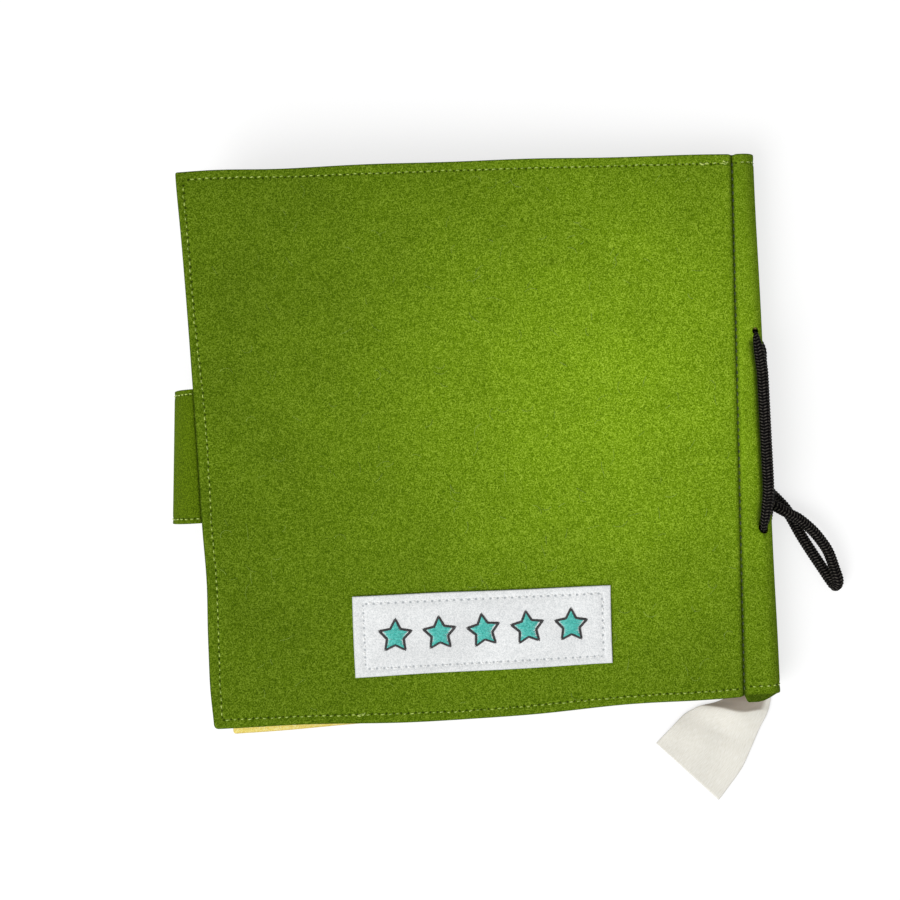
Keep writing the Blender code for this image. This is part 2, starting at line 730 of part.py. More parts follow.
def make_strap(back_hinge):
    """The strap: its round part over the fore edge and its tip under the front cover.

    It comes out between the cover's plies and folds back round the edge of the outer one.
    """
    bpy.context.view_layer.update()
    lining_top = -AXIS_LIFT - COVER_PLY - SEAT
    face_edge = back_hinge.matrix_world @ Vector((-COVER_REACH, 0, -AXIS_LIFT))
    seam_edge = back_hinge.matrix_world @ Vector((-COVER_REACH, 0, lining_top))
    fold_x = min(face_edge.x, seam_edge.x) - STRAP_FOLD_CLEAR
    fold = hinge_empty("strap_fold", (fold_x, STRAP_Y, face_edge.z), (0, 0, FORE_TURN), back_hinge)
    top = seam_edge.z - STRAP_THICKNESS / 2
    bottom = STRAP_THICKNESS / 2
    centre = (top + bottom) / 2 - face_edge.z
    plies = (("strap_outer_ply", 0.0, STRAP_PLY), ("strap_inner_ply", STRAP_PLY + SEAT,
                                                   STRAP_THICKNESS))
    for name, from_depth, to_depth in plies:
        rows = strap_rows(STRAP_BULGE_AT_HEAD, STRAP_BULGE_AT_FOOT, top, from_depth, to_depth)
        lifted = [[p + Vector((0, 0, centre)) for p in row] for row in rows]
        node(name, loft(lifted), GREEN_FELT, fold)
    tip = hinge_empty("strap_tip_fold", (fold_x, STRAP_Y, 0), (0, 0, FORE_TURN), fold)
    half = STRAP_WIDTH / 2
    corners = [Vector((STRAP_FOLD_CLEAR, half)), Vector((STRAP_FOLD_CLEAR, -half)),
               Vector((STRAP_TIP_LENGTH, -half)), Vector((STRAP_TIP_LENGTH, half))]
    rounded = rounded_outline(corners, STRAP_ROUND, 3)
    outline = corners[:2] + rounded[8:]
    node("strap_tip_outer_ply", felt_slab(outline, 0.0, STRAP_PLY, SOFT_EDGE / 2), GREEN_FELT, tip)
    node("strap_tip_inner_ply",
         felt_slab(outline, STRAP_PLY + SEAT, STRAP_THICKNESS, SOFT_EDGE / 2), GREEN_FELT, tip)
    inset = half - TAPE_MARGIN
    tape = [Vector((2 * TAPE_MARGIN, -inset)), Vector((STRAP_TIP_LENGTH - TAPE_MARGIN, -inset)),
            Vector((STRAP_TIP_LENGTH - TAPE_MARGIN, inset)), Vector((2 * TAPE_MARGIN, inset))]
    low = STRAP_THICKNESS + SEAT
    node("hook_tape", felt_slab(tape, low, low + TAPE_THICKNESS, SOFT_EDGE / 4), GREEN_TAPE, tip)


# Leaves


def wavy_outline(waves, depth_share, steps=6, sharp=False):
    """A flower, star or sun: a circle whose radius swings in and out."""
    points = []
    count = waves * steps
    for i in range(count):
        angle = 2 * math.pi * i / count
        swing = math.cos(waves * angle)
        if sharp:
            swing = 1 - 2 * abs((i % steps) / steps * 2 - 1)
            swing = -swing
        reach = PICTURE_RADIUS * (1 - depth_share + depth_share * swing)
        points.append(Vector((reach * math.cos(angle), reach * math.sin(angle))))
    return points


def hand_outline(length):
    """A clock hand: a ring round the snap and a blade that narrows to its tip."""
    half = HAND_WIDTH / 2
    join = math.asin(half / HUB_RADIUS)
    outline = []
    for i in range(15):
        angle = join + (2 * math.pi - 2 * join) * i / 14
        outline.append(Vector((HUB_RADIUS * math.cos(angle), HUB_RADIUS * math.sin(angle))))
    outline.append(Vector((length - HAND_WIDTH, -half)))
    outline.append(Vector((length, 0)))
    outline.append(Vector((length - HAND_WIDTH, half)))
    return outline


def circle(radius, count=20):
    """Points round the middle."""
    return [Vector((radius * math.cos(a), radius * math.sin(a)))
            for a in (2 * math.pi * i / count for i in range(count))]


def make_clock(hinge, page_top):
    """The dial, its two hands and the snap that they turn on."""
    centre = Vector((-CLOCK_FROM_HINGE, CLOCK_Y, page_top))
    hole = circle(SNAP_PIN_RADIUS + SNAP_CLEAR)
    level = SEAT
    pieces = (
        ("clock_dial", circle(DIAL_RADIUS, 40), DIAL_THICKNESS, 0.0, WHITE_FELT),
        ("clock_hour_hand", hand_outline(HOUR_HAND_LENGTH), HAND_THICKNESS, HOUR_HAND_TURN,
         LEAF_COLOURS[0]),
        ("clock_minute_hand", hand_outline(MINUTE_HAND_LENGTH), HAND_THICKNESS, MINUTE_HAND_TURN,
         LEAF_COLOURS[1]),
    )
    for name, outline, thickness, turn, finish in pieces:
        bm = extrude_outline(outline, level, level + thickness, [hole])
        piece = node(name, bm, finish, hinge)
        piece.location = centre
        piece.rotation_euler = (0, 0, turn)
        level += thickness + SEAT
    profile = [(0, SEAT), (SNAP_PIN_RADIUS, SEAT), (SNAP_PIN_RADIUS, level),
               (SNAP_HEAD_RADIUS, level), (SNAP_HEAD_RADIUS, level + SNAP_HEAD_THICKNESS / 2),
               (SNAP_HEAD_RADIUS * 0.7, level + SNAP_HEAD_THICKNESS),
               (0, level + SNAP_HEAD_THICKNESS)]
    bm = bmesh.new()
    chain = [bm.verts.new((x, 0, z)) for x, z in profile]
    edges = [bm.edges.new(pair) for pair in zip(chain, chain[1:])]
    bmesh.ops.spin(bm, geom=chain + edges, cent=(0, 0, 0), axis=(0, 0, 1), angle=2 * math.pi,
                   steps=20, use_merge=True)
    bmesh.ops.remove_doubles(bm, verts=bm.verts, dist=SEAT / 30)
    snap = node("clock_snap", bm, SNAP_PLASTIC, hinge)
    snap.location = centre


def make_leaves():
    """Each leaf is two plies; three carry a felt picture and the top one a clock."""
    pictures = (
        ("leaf_1_flower", wavy_outline(6, 0.14), WHITE_FELT),
        ("leaf_2_star", wavy_outline(5, 0.26, 2, True), YELLOW_FELT),
        ("leaf_3_sun", wavy_outline(12, 0.10, 4), YELLOW_FELT),
    )
    for index in range(LEAF_COUNT):
        top_leaf = index == LEAF_COUNT - 1
        inset = TOP_LEAF_INSET if top_leaf else LEAF_INSET
        hinge = hinge_empty(
            f"leaf_{index + 1}_hinge",
            (GROOVE_X, 0, leaf_level(index) + LEAF_THICKNESS / 2),
            (0, LEAF_SLOPE + index * LEAF_SLOPE_STEP, -GROOVE_SKEW),
        )
        turn = TOP_LEAF_TURN if top_leaf else 0.0
        rise = TOP_LEAF_RISE if top_leaf else 0.0
        corners = page_corners(COVER_REACH - inset, LEAF_HEIGHT / 2, turn, rise)
        outline = rounded_outline(corners, CORNER_ROUND / 3, 2)
        half = LEAF_THICKNESS / 2
        finish = LEAF_COLOURS[index]
        node(f"leaf_{index + 1}_lower_ply", felt_slab(outline, -half, -half + LEAF_PLY), finish,
             hinge)
        node(f"leaf_{index + 1}_upper_ply", felt_slab(outline, half - LEAF_PLY, half), finish,
             hinge)
        if top_leaf:
            make_clock(hinge, half)
        else:
            name, shape, finish = pictures[index]
            moved = [p + Vector((-PICTURE_FROM_HINGE, 0)) for p in shape]
            low = half + SEAT
            node(name, felt_slab(moved, low, low + PICTURE_THICKNESS, SOFT_EDGE / 2), finish, hinge)


def shade_round_pieces():
    """Smooth shading on what is round, with its hard edges kept."""
    for piece in bpy.data.objects:
        if piece.type == "MESH":
            piece.data.shade_smooth()
            piece.data.set_sharp_from_angle(angle=math.radians(35))


def main():
    clear_scene()
    make_binding()
    back_hinge = make_back_cover()
    make_front_cover()
    make_leaves()
    make_strap(back_hinge)
    shade_round_pieces()


main()
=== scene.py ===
"""The looks of a felt quiet book: needle felt, topstitching, a braided cord and a satin label.

Metres, +Z up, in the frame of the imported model. The closed book lies on its front cover; its
spine edge is at +X, its fore edge at -X and its head at +Y. Sizes that end in _MM are millimetres.
"""
import math
import random

import bmesh
import bpy
import numpy as np
from mathutils import Matrix, Vector


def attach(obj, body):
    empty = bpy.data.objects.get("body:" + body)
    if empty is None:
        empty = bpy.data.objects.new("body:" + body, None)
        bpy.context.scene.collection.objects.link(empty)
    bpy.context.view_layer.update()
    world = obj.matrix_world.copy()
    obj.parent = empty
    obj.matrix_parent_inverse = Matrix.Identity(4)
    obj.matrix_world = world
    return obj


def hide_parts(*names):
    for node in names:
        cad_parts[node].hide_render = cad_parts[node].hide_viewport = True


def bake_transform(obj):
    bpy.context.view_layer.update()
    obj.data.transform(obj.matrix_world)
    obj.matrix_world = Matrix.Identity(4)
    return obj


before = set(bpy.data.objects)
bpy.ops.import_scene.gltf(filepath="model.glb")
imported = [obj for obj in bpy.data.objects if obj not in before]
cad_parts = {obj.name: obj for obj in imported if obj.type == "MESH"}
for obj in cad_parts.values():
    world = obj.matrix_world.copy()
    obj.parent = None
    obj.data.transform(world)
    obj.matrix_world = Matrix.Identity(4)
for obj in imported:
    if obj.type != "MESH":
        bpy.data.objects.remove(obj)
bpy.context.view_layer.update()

MM = 0.001

# The book, as the solids have it
BOOK_WIDTH = 0.2415
BOOK_HEIGHT = 0.2300
SPINE_X = 0.0090
SPINE_ROUND = 0.0062
STRIP_AT_HEAD = 0.0098
STRIP_AT_FOOT = 0.0163
FORE_SKEW = 0.0034
FORE_RISE_AT_FOOT = 0.0010
COVER_PLY = 0.0019
LEAF_PLY = 0.0014
SEAT = 0.0003
LEAF_GAP = 0.0005
LEAF_COUNT = 4
AXIS_LIFT = 0.0003
FRONT_COVER_SLOPE = math.radians(1.6)
LEAF_SLOPE = math.radians(2.1)
LEAF_SLOPE_STEP = math.radians(0.5)
BACK_COVER_SLOPE = math.radians(5.4)
LEAF_HEIGHT = 0.2250
LEAF_INSET = 0.0040
TOP_LEAF_TURN = math.radians(0.9)
TOP_LEAF_RISE = -0.0026
TOP_LEAF_INSET = 0.0066

# What follows from those sizes
HALF_HEIGHT = BOOK_HEIGHT / 2
FORE_X = SPINE_X - BOOK_WIDTH
COVER_THICKNESS = 2 * COVER_PLY + SEAT
LEAF_THICKNESS = 2 * LEAF_PLY + SEAT
BOOK_THICKNESS = 2 * COVER_THICKNESS + LEAF_COUNT * (LEAF_THICKNESS + LEAF_GAP) + LEAF_GAP
GROOVE_SKEW = math.atan2(STRIP_AT_FOOT - STRIP_AT_HEAD, BOOK_HEIGHT)
GROOVE_X = SPINE_X - (STRIP_AT_HEAD + STRIP_AT_FOOT) / 2
COVER_REACH = GROOVE_X - FORE_X
FORE_TURN = math.atan2(FORE_SKEW, BOOK_HEIGHT)

# Sewing
STITCH_PITCH_MM = 3.05
STITCH_LENGTH_MM = 1.75
THREAD_MM = 0.5
SEAM_INSET_MM = 3.6
SEAM_SINK_MM = 0.35
SEAM_SPREAD_MM = 0.8
FOLD_MM = 6.0
GROOVE_SLOPE_MM = 1.7
GROOVE_DEPTH_MM = 1.2
GATHER_MM = 0.3
CUT_ROUND_MM = 0.45
LAID_THREAD_MM = 0.36
STITCH_SLANT = 0.10
SEAM_SWAY_MM = 0.16


# Small helpers


def linear(hex_colour):
    """An sRGB hex colour as the linear numbers that a shader takes."""
    parts = [int(hex_colour[i:i + 2], 16) / 255 for i in (1, 3, 5)]
    return tuple(c / 12.92 if c <= 0.04045 else ((c + 0.055) / 1.055) ** 2.4 for c in parts) + (1.0,)


def smooth(share):
    """A share from 0 to 1 that starts and ends gently."""
    return share * share * (3 - 2 * share)


def hump(place, middle, width):
    """A soft hump: 1 at its middle, and next to nothing beyond twice its width."""
    return np.exp(-((place - middle) / width) ** 2)


def travelled_along(points):
    """How far along a line each of its points lies."""
    return np.concatenate([[0], np.cumsum(np.linalg.norm(np.diff(points, axis=0), axis=1))])


def spread(low, high, step):
    """Even places from low to high, at most a step apart."""
    count = max(1, math.ceil(abs(high - low) / step))
    return [low + (high - low) * i / count for i in range(count + 1)]


def side_lines(near_mm, length, step):
    """Places along a side: close together near both ends, and wider apart between."""
    near = [mm * MM for mm in near_mm]
    return near + spread(near[-1], length - near[-1], step)[1:-1] + [length - n for n in near[::-1]]


def new_piece(name, verts, faces, material, smooth_shaded=True):
    """Adds a mesh piece with one material, in the frame's axes."""
    mesh = bpy.data.meshes.new(name)
    mesh.from_pydata([tuple(v) for v in verts], [], [tuple(f) for f in faces])
    mesh.materials.append(material)
    mesh.update()
    if smooth_shaded:
        mesh.shade_smooth()
    piece = bpy.data.objects.new(name, mesh)
    bpy.context.scene.collection.objects.link(piece)
    return piece


def outward(piece):
    """Makes every face of a closed mesh look out."""
    shell = bmesh.new()
    shell.from_mesh(piece.data)
    bmesh.ops.recalc_face_normals(shell, faces=shell.faces)
    shell.to_mesh(piece.data)
    shell.free()


def tube_faces(rows, around, base=0, flipped=False):
    """The faces of a tube of rings of points, with a cap at each end."""
    index = np.arange(rows * around).reshape(rows, around) + base
    beside = np.roll(index, -1, axis=1)
    quads = np.stack([index[:-1], index[1:], beside[1:], beside[:-1]], -1).reshape(-1, 4)
    faces = quads.tolist() + [index[0].tolist(), index[-1][::-1].tolist()]
    return [face[:1] + face[:0:-1] for face in faces] if flipped else faces


def keep_on_mesh(piece, name, rows):
    """Stores one vector for each point, which the materials read as the cloth's own axes."""
    layer = piece.data.attributes.new(name, "FLOAT_VECTOR", "POINT")
    layer.data.foreach_set("vector", np.asarray(rows, np.float32).ravel())


# Materials


# Needle felt: its three layers of fibres, as a turn in degrees, a fibre's width and its length
FIBRE_LAYERS = ((8, 0.34, 2.6), (68, 0.38, 2.0), (127, 0.32, 2.2))
FIBRE_WARP = 180.0
FIBRE_BEND = 0.0028
FLECK_MM = 0.55
CLOUD_MM = 26
# A painted pool of light on the cover: its middle in the page's axes, how far it reaches, and its darkest
# and palest tones
LIGHT_POOL_MIDDLE = (-0.045, 0.018, 0.0)
LIGHT_POOL_SPAN = (0.108, 0.102, 1000.0)
LIGHT_POOL_TONES = (0.61, 1.36)
# A rubbed, darker spot near the head
SMUDGE_MIDDLE = (-0.0770, 0.0724, 0.0)
SMUDGE_SPAN = (0.0048, 0.0022, 1000.0)
SMUDGE_TONES = (1.0, 0.80)
# The pits at the ends of a stitch, given painted shade: how far in they lie, their size and how dark they
# are
PIT_INWARD_MM = 0.22
PIT_WIDTH_MM = 0.55
PIT_LENGTH_MM = 0.6
PIT_DARK = 0.8
# The painted shade along a cut rim: how wide it is and how dark
RIM_SHADE_MM = 0.7
RIM_SHADE_DARK = 0.6


def add_node(tree, kind, inputs=None, **settings):
    """Adds a node; inputs gives each socket a number, a colour or another node's output."""
    made = tree.nodes.new(kind)
    for name, value in settings.items():
        setattr(made, name, value)
    for name, value in (inputs or {}).items():
        socket = made.inputs[name]
        if isinstance(value, bpy.types.NodeSocket):
            tree.links.new(value, socket)
        else:
            socket.default_value = value
    return made


class Look:
    """A material in the making, with short calls for the nodes that the looks share."""

    def __init__(self, name, settings):
        self.made = bpy.data.materials.new(name)
        self.made.use_nodes = True
        self.tree = self.made.node_tree
        self.shader = self.tree.nodes["Principled BSDF"]
        for socket, value in settings.items():
            self.shader.inputs[socket].default_value = value

    def stored(self, name):
        """The vector that a piece keeps on its points under a name."""
        return add_node(self.tree, "ShaderNodeAttribute", attribute_name=name).outputs["Vector"]

    def position(self):
        """The place of a point in the frame."""
        return add_node(self.tree, "ShaderNodeNewGeometry").outputs["Position"]

    def split(self, vector):
        """A vector's X, Y and Z."""
        return add_node(self.tree, "ShaderNodeSeparateXYZ", {0: vector}).outputs

    def maths(self, operation, *values):
        """Arithmetic on numbers and outputs."""
        return add_node(self.tree, "ShaderNodeMath", dict(enumerate(values)),
                        operation=operation).outputs[0]

    def vector(self, operation, *values):
        """Arithmetic on vectors."""
        made = add_node(self.tree, "ShaderNodeVectorMath", dict(enumerate(values)),
                        operation=operation)
        return made.outputs["Value" if operation == "DOT_PRODUCT" else "Vector"]

    def scaled(self, colour, factor):
        """A colour made paler or darker."""
        return add_node(self.tree, "ShaderNodeVectorMath", {0: colour, "Scale": factor},
                        operation="SCALE").outputs[0]

    def noise(self, place, scale, detail=2.0, roughness=0.5, output="Fac"):
        """Soft noise, with a scale in turns for each metre or each unit of the place."""
        return add_node(self.tree, "ShaderNodeTexNoise", {
            "Vector": place, "Scale": scale, "Detail": detail, "Roughness": roughness}).outputs[output]

    def span(self, value, low, high, to_low=0.0, to_high=1.0):
        """Stretches one span of values onto another, and holds its ends."""
        return add_node(self.tree, "ShaderNodeMapRange", {
            "Value": value, "From Min": low, "From Max": high, "To Min": to_low,
            "To Max": to_high}).outputs[0]

    def ramp(self, value, *stops):
        """Colours for a value; each stop is a place and an sRGB hex colour."""
        made = add_node(self.tree, "ShaderNodeValToRGB", {"Fac": value})
        band = made.color_ramp.elements
        for element, (place, colour) in zip(band, (stops[0], stops[-1])):
            element.position = place
            element.color = linear(colour)
        for place, colour in stops[1:-1]:
            band.new(place).color = linear(colour)
        return made.outputs["Color"]

    def mixed(self, share, colour, other):
        """One colour that turns into another as the share goes from 0 to 1."""
        return add_node(self.tree, "ShaderNodeMix", {0: share, 6: colour, 7: other},
                        data_type="RGBA").outputs[2]

    def colour(self, output):
        """Gives the surface its colour."""
        self.tree.links.new(output, self.shader.inputs["Base Color"])

    def bump(self, height, strength, distance_mm, invert=False):
        """Gives the surface a fine relief."""
        made = add_node(self.tree, "ShaderNodeBump", {
            "Height": height, "Strength": strength, "Distance": distance_mm * MM}, invert=invert)
        self.tree.links.new(made.outputs["Normal"], self.shader.inputs["Normal"])


def soft_spot(look, place, middle, span):
    """1 in the middle of a soft-edged patch of the cloth, falling to 0 beyond its span."""
    shares = look.vector("DIVIDE", look.vector("SUBTRACT", place, middle), span)
    return look.maths("POWER", math.exp(-1), look.vector("DOT_PRODUCT", shares, shares))


def painted_seam_shade(look):
    """Painted shade from 0 to 1, from the cloth's seam axes: in stitch pits, in the groove, beside the cord
    and on cut rims.
    """
    from_seam, along_seam, painted_shade = look.split(look.stored("seam"))
    # The thread pulls each hole open towards the middle of the cloth
    across = look.maths("DIVIDE", look.maths("SUBTRACT", from_seam, PIT_INWARD_MM * MM),
                        PIT_WIDTH_MM * MM)
    # Along the seam the pits are a pitch apart, between one stitch and the next
    turns = look.maths("ADD", look.maths("DIVIDE", along_seam, STITCH_PITCH_MM * MM), 0.5)
    along = look.maths("MULTIPLY", look.maths("SUBTRACT", look.maths("FRACT", turns), 0.5),
                       STITCH_PITCH_MM / PIT_LENGTH_MM)
    reach = look.maths("ADD", look.maths("MULTIPLY", across, across),
                       look.maths("MULTIPLY", along, along))
    # Painted shade in each needle hole
    pit = look.span(reach, 0.25, 1.2, PIT_DARK, 0.0)
    # Painted shade in the stitched groove and beside the cord, from the seam axes, and painted shade along
    # the rounded cut rim
    rim = look.span(from_seam, -SEAM_INSET_MM * MM, (RIM_SHADE_MM - SEAM_INSET_MM) * MM, RIM_SHADE_DARK, 0.0)
    return look.maths("MAXIMUM", look.maths("MAXIMUM", pit, painted_shade), rim)


def felt_material(name, face_hex, pale_hex, dark_hex, shade_hex, light_pool_and_smudge=False):
    """Needle felt: polyester fibres matted by barbed needles into a dense matt cloth.

    Fibres lie every way, so it shows a fine mottle of pale and dark flecks, 0.3 to 3 mm long,
    with a soft sheen at a low angle. Needle holes along its seams are small pits with painted
    shade, and the groove and the cut rims get painted shade too. A cover can carry a painted pool
    of light, paler at its middle and darker away from it.
    """
    look = Look(name, {"Roughness": 0.95, "Specular IOR Level": 0.06, "Sheen Weight": 0.10,
                       "Sheen Tint": linear(pale_hex), "Sheen Roughness": 0.5})
    page = look.stored("page")
    # A slow warp bends the fibres, as a few millimetres of matted wool are never straight
    warp = look.noise(page, FIBRE_WARP, 1.0, output="Color")
    bent = look.vector("ADD", page, look.vector("MULTIPLY", warp, (FIBRE_BEND,) * 3))
    layers = []
    for turn, across_mm, along_mm in FIBRE_LAYERS:
        spun = add_node(look.tree, "ShaderNodeVectorRotate",
                        {"Vector": bent, "Angle": math.radians(turn)}, rotation_type="Z_AXIS")
        drawn = look.vector("MULTIPLY", spun.outputs[0],
                            (1 / (along_mm * MM), 1 / (across_mm * MM), 900.0))
        layers.append(look.noise(drawn, 1.0, 2.0, 0.6))
    matted = look.maths("MAXIMUM", look.maths("MAXIMUM", layers[0], layers[1]), layers[2])
    # Flecks between the fibres, drawn at half a millimetre because finer ones don't show
    fleck = look.noise(page, 1 / (FLECK_MM * MM), 3.0, 0.7)
    cloud = look.noise(page, 1 / (CLOUD_MM * MM), 3.0, 0.6)
    height = look.maths("ADD", matted, fleck)
    colour = look.ramp(look.span(height, 0.93, 1.25), (0.0, dark_hex), (0.5, face_hex),
                       (1.0, pale_hex))
    colour = look.scaled(colour, look.span(cloud, 0.3, 0.7, 0.93, 1.07))
    # Painted light: a pool paler at its middle with painted shade away from it, and a rubbed, darker smudge
    # near the head
    if light_pool_and_smudge:
        for middle, span, tones in ((LIGHT_POOL_MIDDLE, LIGHT_POOL_SPAN, LIGHT_POOL_TONES),
                                    (SMUDGE_MIDDLE, SMUDGE_SPAN, SMUDGE_TONES)):
            spot = soft_spot(look, page, middle, span)
            colour = look.scaled(colour, look.span(spot, 0.0, 1.0, *tones))
    # The painted shade is mixed in as the shade colour
    look.colour(look.mixed(painted_seam_shade(look), colour, linear(shade_hex)))
    look.bump(height, 0.55, 0.35)
    return look.made


def thread_material(name, face_hex, shadow_hex, gloss=0.45):
    """Spun polyester sewing thread: two plies twisted together, with a slight silky gloss."""
    look = Look(name, {"Roughness": gloss, "Sheen Weight": 0.15})
    fine = look.noise(look.position(), 1 / (0.9 * MM))
    look.colour(look.ramp(fine, (0.35, shadow_hex), (0.62, face_hex)))
    return look.made


def braid_material():
    """Braided polyester cord, dyed near black, with painted highlights on its floats and painted shade in
    the gaps between them.
    """
    look = Look("black_braided_polyester", {"Roughness": 0.6, "Specular IOR Level": 0.03})
    crest = look.split(look.stored("braid_crest_highlight"))[0]
    worn = look.span(look.noise(look.position(), 1 / (0.6 * MM)), 0.3, 0.7, 0.65, 1.1)
    # Painted highlights on the crests of the floats, and painted shade in the gaps
    look.colour(look.ramp(look.maths("MULTIPLY", worn, crest), (0.0, "#010101"),
                          (0.52, "#0D0C0C"), (0.95, "#5C5751")))
    return look.made


def tape_material(name, ground_hex, pile_hex, pile_mm):
    """Nylon hook-and-loop tape: a tight woven ground with rows of hooks or a brushed loop pile."""
    look = Look(name, {"Roughness": 0.6})
    place = add_node(look.tree, "ShaderNodeTexCoord").outputs["Object"]
    rows = add_node(look.tree, "ShaderNodeTexVoronoi",
                    {"Vector": place, "Scale": 1 / (pile_mm * MM)}).outputs["Distance"]
    look.colour(look.ramp(rows, (0.0, pile_hex), (0.6, ground_hex)))
    look.bump(rows, 0.8, 0.2, invert=True)
    return look.made


def satin_material():
    """Polyester satin ribbon: fine warp floats along its length give a soft, creamy sheen."""
    look = Look("cream_polyester_satin",
                {"Roughness": 0.42, "Sheen Weight": 0.25, "Specular IOR Level": 0.4})
    page = look.stored("page")
    # The real floats are 0.1 mm wide; drawn at 0.35 mm so that they show
    drawn = look.vector("MULTIPLY", page, (1 / (0.35 * MM), 1 / (3.0 * MM), 1.0))
    floats = look.noise(drawn, 1.0)
    ribbon = look.ramp(floats, (0.3, "#DFDCD0"), (0.7, "#EFEDE5"))
    # Z marks the folded root of the doubled ribbon, which gets a grey-brown painted shade
    look.colour(look.mixed(look.split(page)[2], ribbon, linear("#8F8170")))
    look.bump(floats, 0.25, 0.06)
    return look.made


def plastic_material():
    """Moulded acetal snap: hard, smooth and slightly milky."""
    look = Look("white_acetal", {"Roughness": 0.32})
    flow = look.noise(look.position(), 1 / (4 * MM))
    look.colour(look.ramp(flow, (0.0, "#E4E3DF"), (1.0, "#F4F4F1")))
    return look.made


GREEN_FELT = felt_material("green_needle_felt", "#70900F", "#99B637", "#4C6A04", "#1C2B03", True)
STRAP_GREEN_FELT = felt_material("green_strap_felt", "#546D05", "#71891A", "#3A5002", "#1A2602")
WHITE_FELT = felt_material("white_needle_felt", "#EEF0F0", "#FBFCFC", "#DCDFE0", "#A3A8AC")
RED_FELT = felt_material("red_needle_felt", "#CB4A3F", "#E0766A", "#A6322B", "#5E1714")
BLUE_FELT = felt_material("blue_needle_felt", "#4A9FCC", "#7DC0E2", "#2F7FAB", "#174A68")
ORANGE_FELT = felt_material("orange_needle_felt", "#EE9338", "#F7B56C", "#CF7420", "#7C3F0C")
YELLOW_FELT = felt_material("yellow_needle_felt", "#FBE884", "#FFF4B4", "#EDD264", "#A5852A")
TEAL_FELT = felt_material("teal_needle_felt", "#4CBDB2", "#7FD6CD", "#2F9A90", "#17544F")
GREEN_THREAD = thread_material("light_green_thread", "#C0D368", "#86A236")
# The groove's thread: the same green thread, darkened with painted shade because it lies down in the valley
SHADED_VALLEY_THREAD = thread_material("green_thread_painted_shade", "#3E5410", "#1E2C05")
WHITE_THREAD = thread_material("white_thread", "#FBFBFA", "#DDDEDC")
RED_THREAD = thread_material("red_thread", "#E07468", "#9C2F28")
BLUE_THREAD = thread_material("blue_thread", "#8CC8E6", "#3A83AB")
ORANGE_THREAD = thread_material("orange_thread", "#F8B870", "#C2731F")
YELLOW_THREAD = thread_material("yellow_thread", "#FFF1AE", "#D9B548")
TEAL_THREAD = thread_material("teal_embroidery_thread", "#6AD9CE", "#3DB9AE", 0.4)
BLACK_THREAD = thread_material("black_embroidery_thread", "#2C292B", "#0F0E10", 0.35)
LOOSE_FIBRE = thread_material("loose_green_fibre", "#9CBC36", "#84A228", 0.9)
BLACK_BRAID = braid_material()
HOOK_TAPE = tape_material("green_nylon_hook_tape", "#4F6E12", "#7FA02E", 0.9)
LOOP_TAPE = tape_material("green_nylon_loop_tape", "#4A6810", "#86A838", 0.6)
SATIN = satin_material()
SNAP_PLASTIC = plastic_material()
# Cloth, thread and slot in each leaf's colour, from the front cover on
RED, BLUE, ORANGE, YELLOW = LEAF_COLOURS = (
    (RED_FELT, RED_THREAD, "red_felt"), (BLUE_FELT, BLUE_THREAD, "blue_felt"),
    (ORANGE_FELT, ORANGE_THREAD, "orange_felt"), (YELLOW_FELT, YELLOW_THREAD, "yellow_felt"))


def page_axes(level, slope):
    """A page's own axes, square to the book: x runs to the spine and y to the head."""
    return (Matrix.Translation((GROOVE_X, 0, level)) @ Matrix.Rotation(-GROOVE_SKEW, 4, "Z")
            @ Matrix.Rotation(slope, 4, "Y") @ Matrix.Rotation(GROOVE_SKEW, 4, "Z"))


BACK_AXES = page_axes(BOOK_THICKNESS + AXIS_LIFT, BACK_COVER_SLOPE)
FRONT_AXES = page_axes(-AXIS_LIFT, FRONT_COVER_SLOPE)


# Cloth as closed meshes


# What the felt's seam axes say where no seam is near
UNSEWN = np.array((1.0, 0.0, 0.0))
# How far a pair of scissors wanders from its line
CUT_WANDER = 0.00018


def waviness(x, y, seed, amount=0.00035):
    """How far hand-cut felt strays from flat at a place: nothing at the fold, more beyond it."""
    away = np.clip((GROOVE_X - x) / 0.07, 0, 1)
    swell = sum(np.sin(x / length + seed * 1.7 + k) * np.cos(y / (length * 1.3) + seed * 2.3 - k)
                for k, length in enumerate((0.021, 0.034, 0.013)))
    return amount * smooth(away) * swell / 2


def rounded_edge(distance, radius):
    """How far a cut edge of felt falls away near its rim."""
    inside = np.clip(radius - distance, 0, radius)
    return radius - np.sqrt(radius**2 - inside**2)


def seam_sink(distance):
    """How far the thread pulls the felt down along a seam."""
    return SEAM_SINK_MM * MM * hump(distance, SEAM_INSET_MM * MM, SEAM_SPREAD_MM * MM)


def hand_guided_inset(side, from_fore, from_head, from_foot):
    """How far a seam really runs from each side, in metres: no hand guides cloth evenly."""
    if side == "fore":
        return (4.1 - 1.6 * np.exp(-(from_head / 0.078) ** 4) - 0.4 * np.exp(-from_foot / 0.015)) * MM
    if side == "head":
        return (3.8 - 0.8 * np.exp(-from_fore / 0.04)) * MM
    return (3.35 + 0.1 * np.sin(from_fore / 0.05)) * MM


# Bulges of a cover's cut edges: how many millimetres each swells out, where, and how wide it is
COVER_BULGES = {
    "foot": ((2.8, -0.122, 0.058), (0.6, -0.018, 0.030)),
    "head": ((0.6, -0.213, 0.017),),
    "fore": ((0.5, -0.098, 0.012), (-0.9, -0.054, 0.018), (0.7, 0.115, 0.018), (-0.8, 0.008, 0.036)),
}


def cover_bow(side, x, y):
    """How far a cover's edge bulges past a straight line between its corners, in metres."""
    along = y if side == "fore" else x
    bow = sum(swell * hump(along, middle, width) for swell, middle, width in COVER_BULGES[side])
    if side == "head":
        bow = bow + np.sin(math.pi * np.clip(-x / COVER_REACH, 0, 1))
    return bow * MM


def follow_seam(nominal, inset, base=SEAM_INSET_MM * MM, fade=0.005):
    """Shifts the lines of a mesh so that the one at the nominal inset lies on the real seam."""
    share = np.where(nominal < base, nominal / base, np.exp(-(nominal - base) / fade))
    return nominal + (inset - base) * share


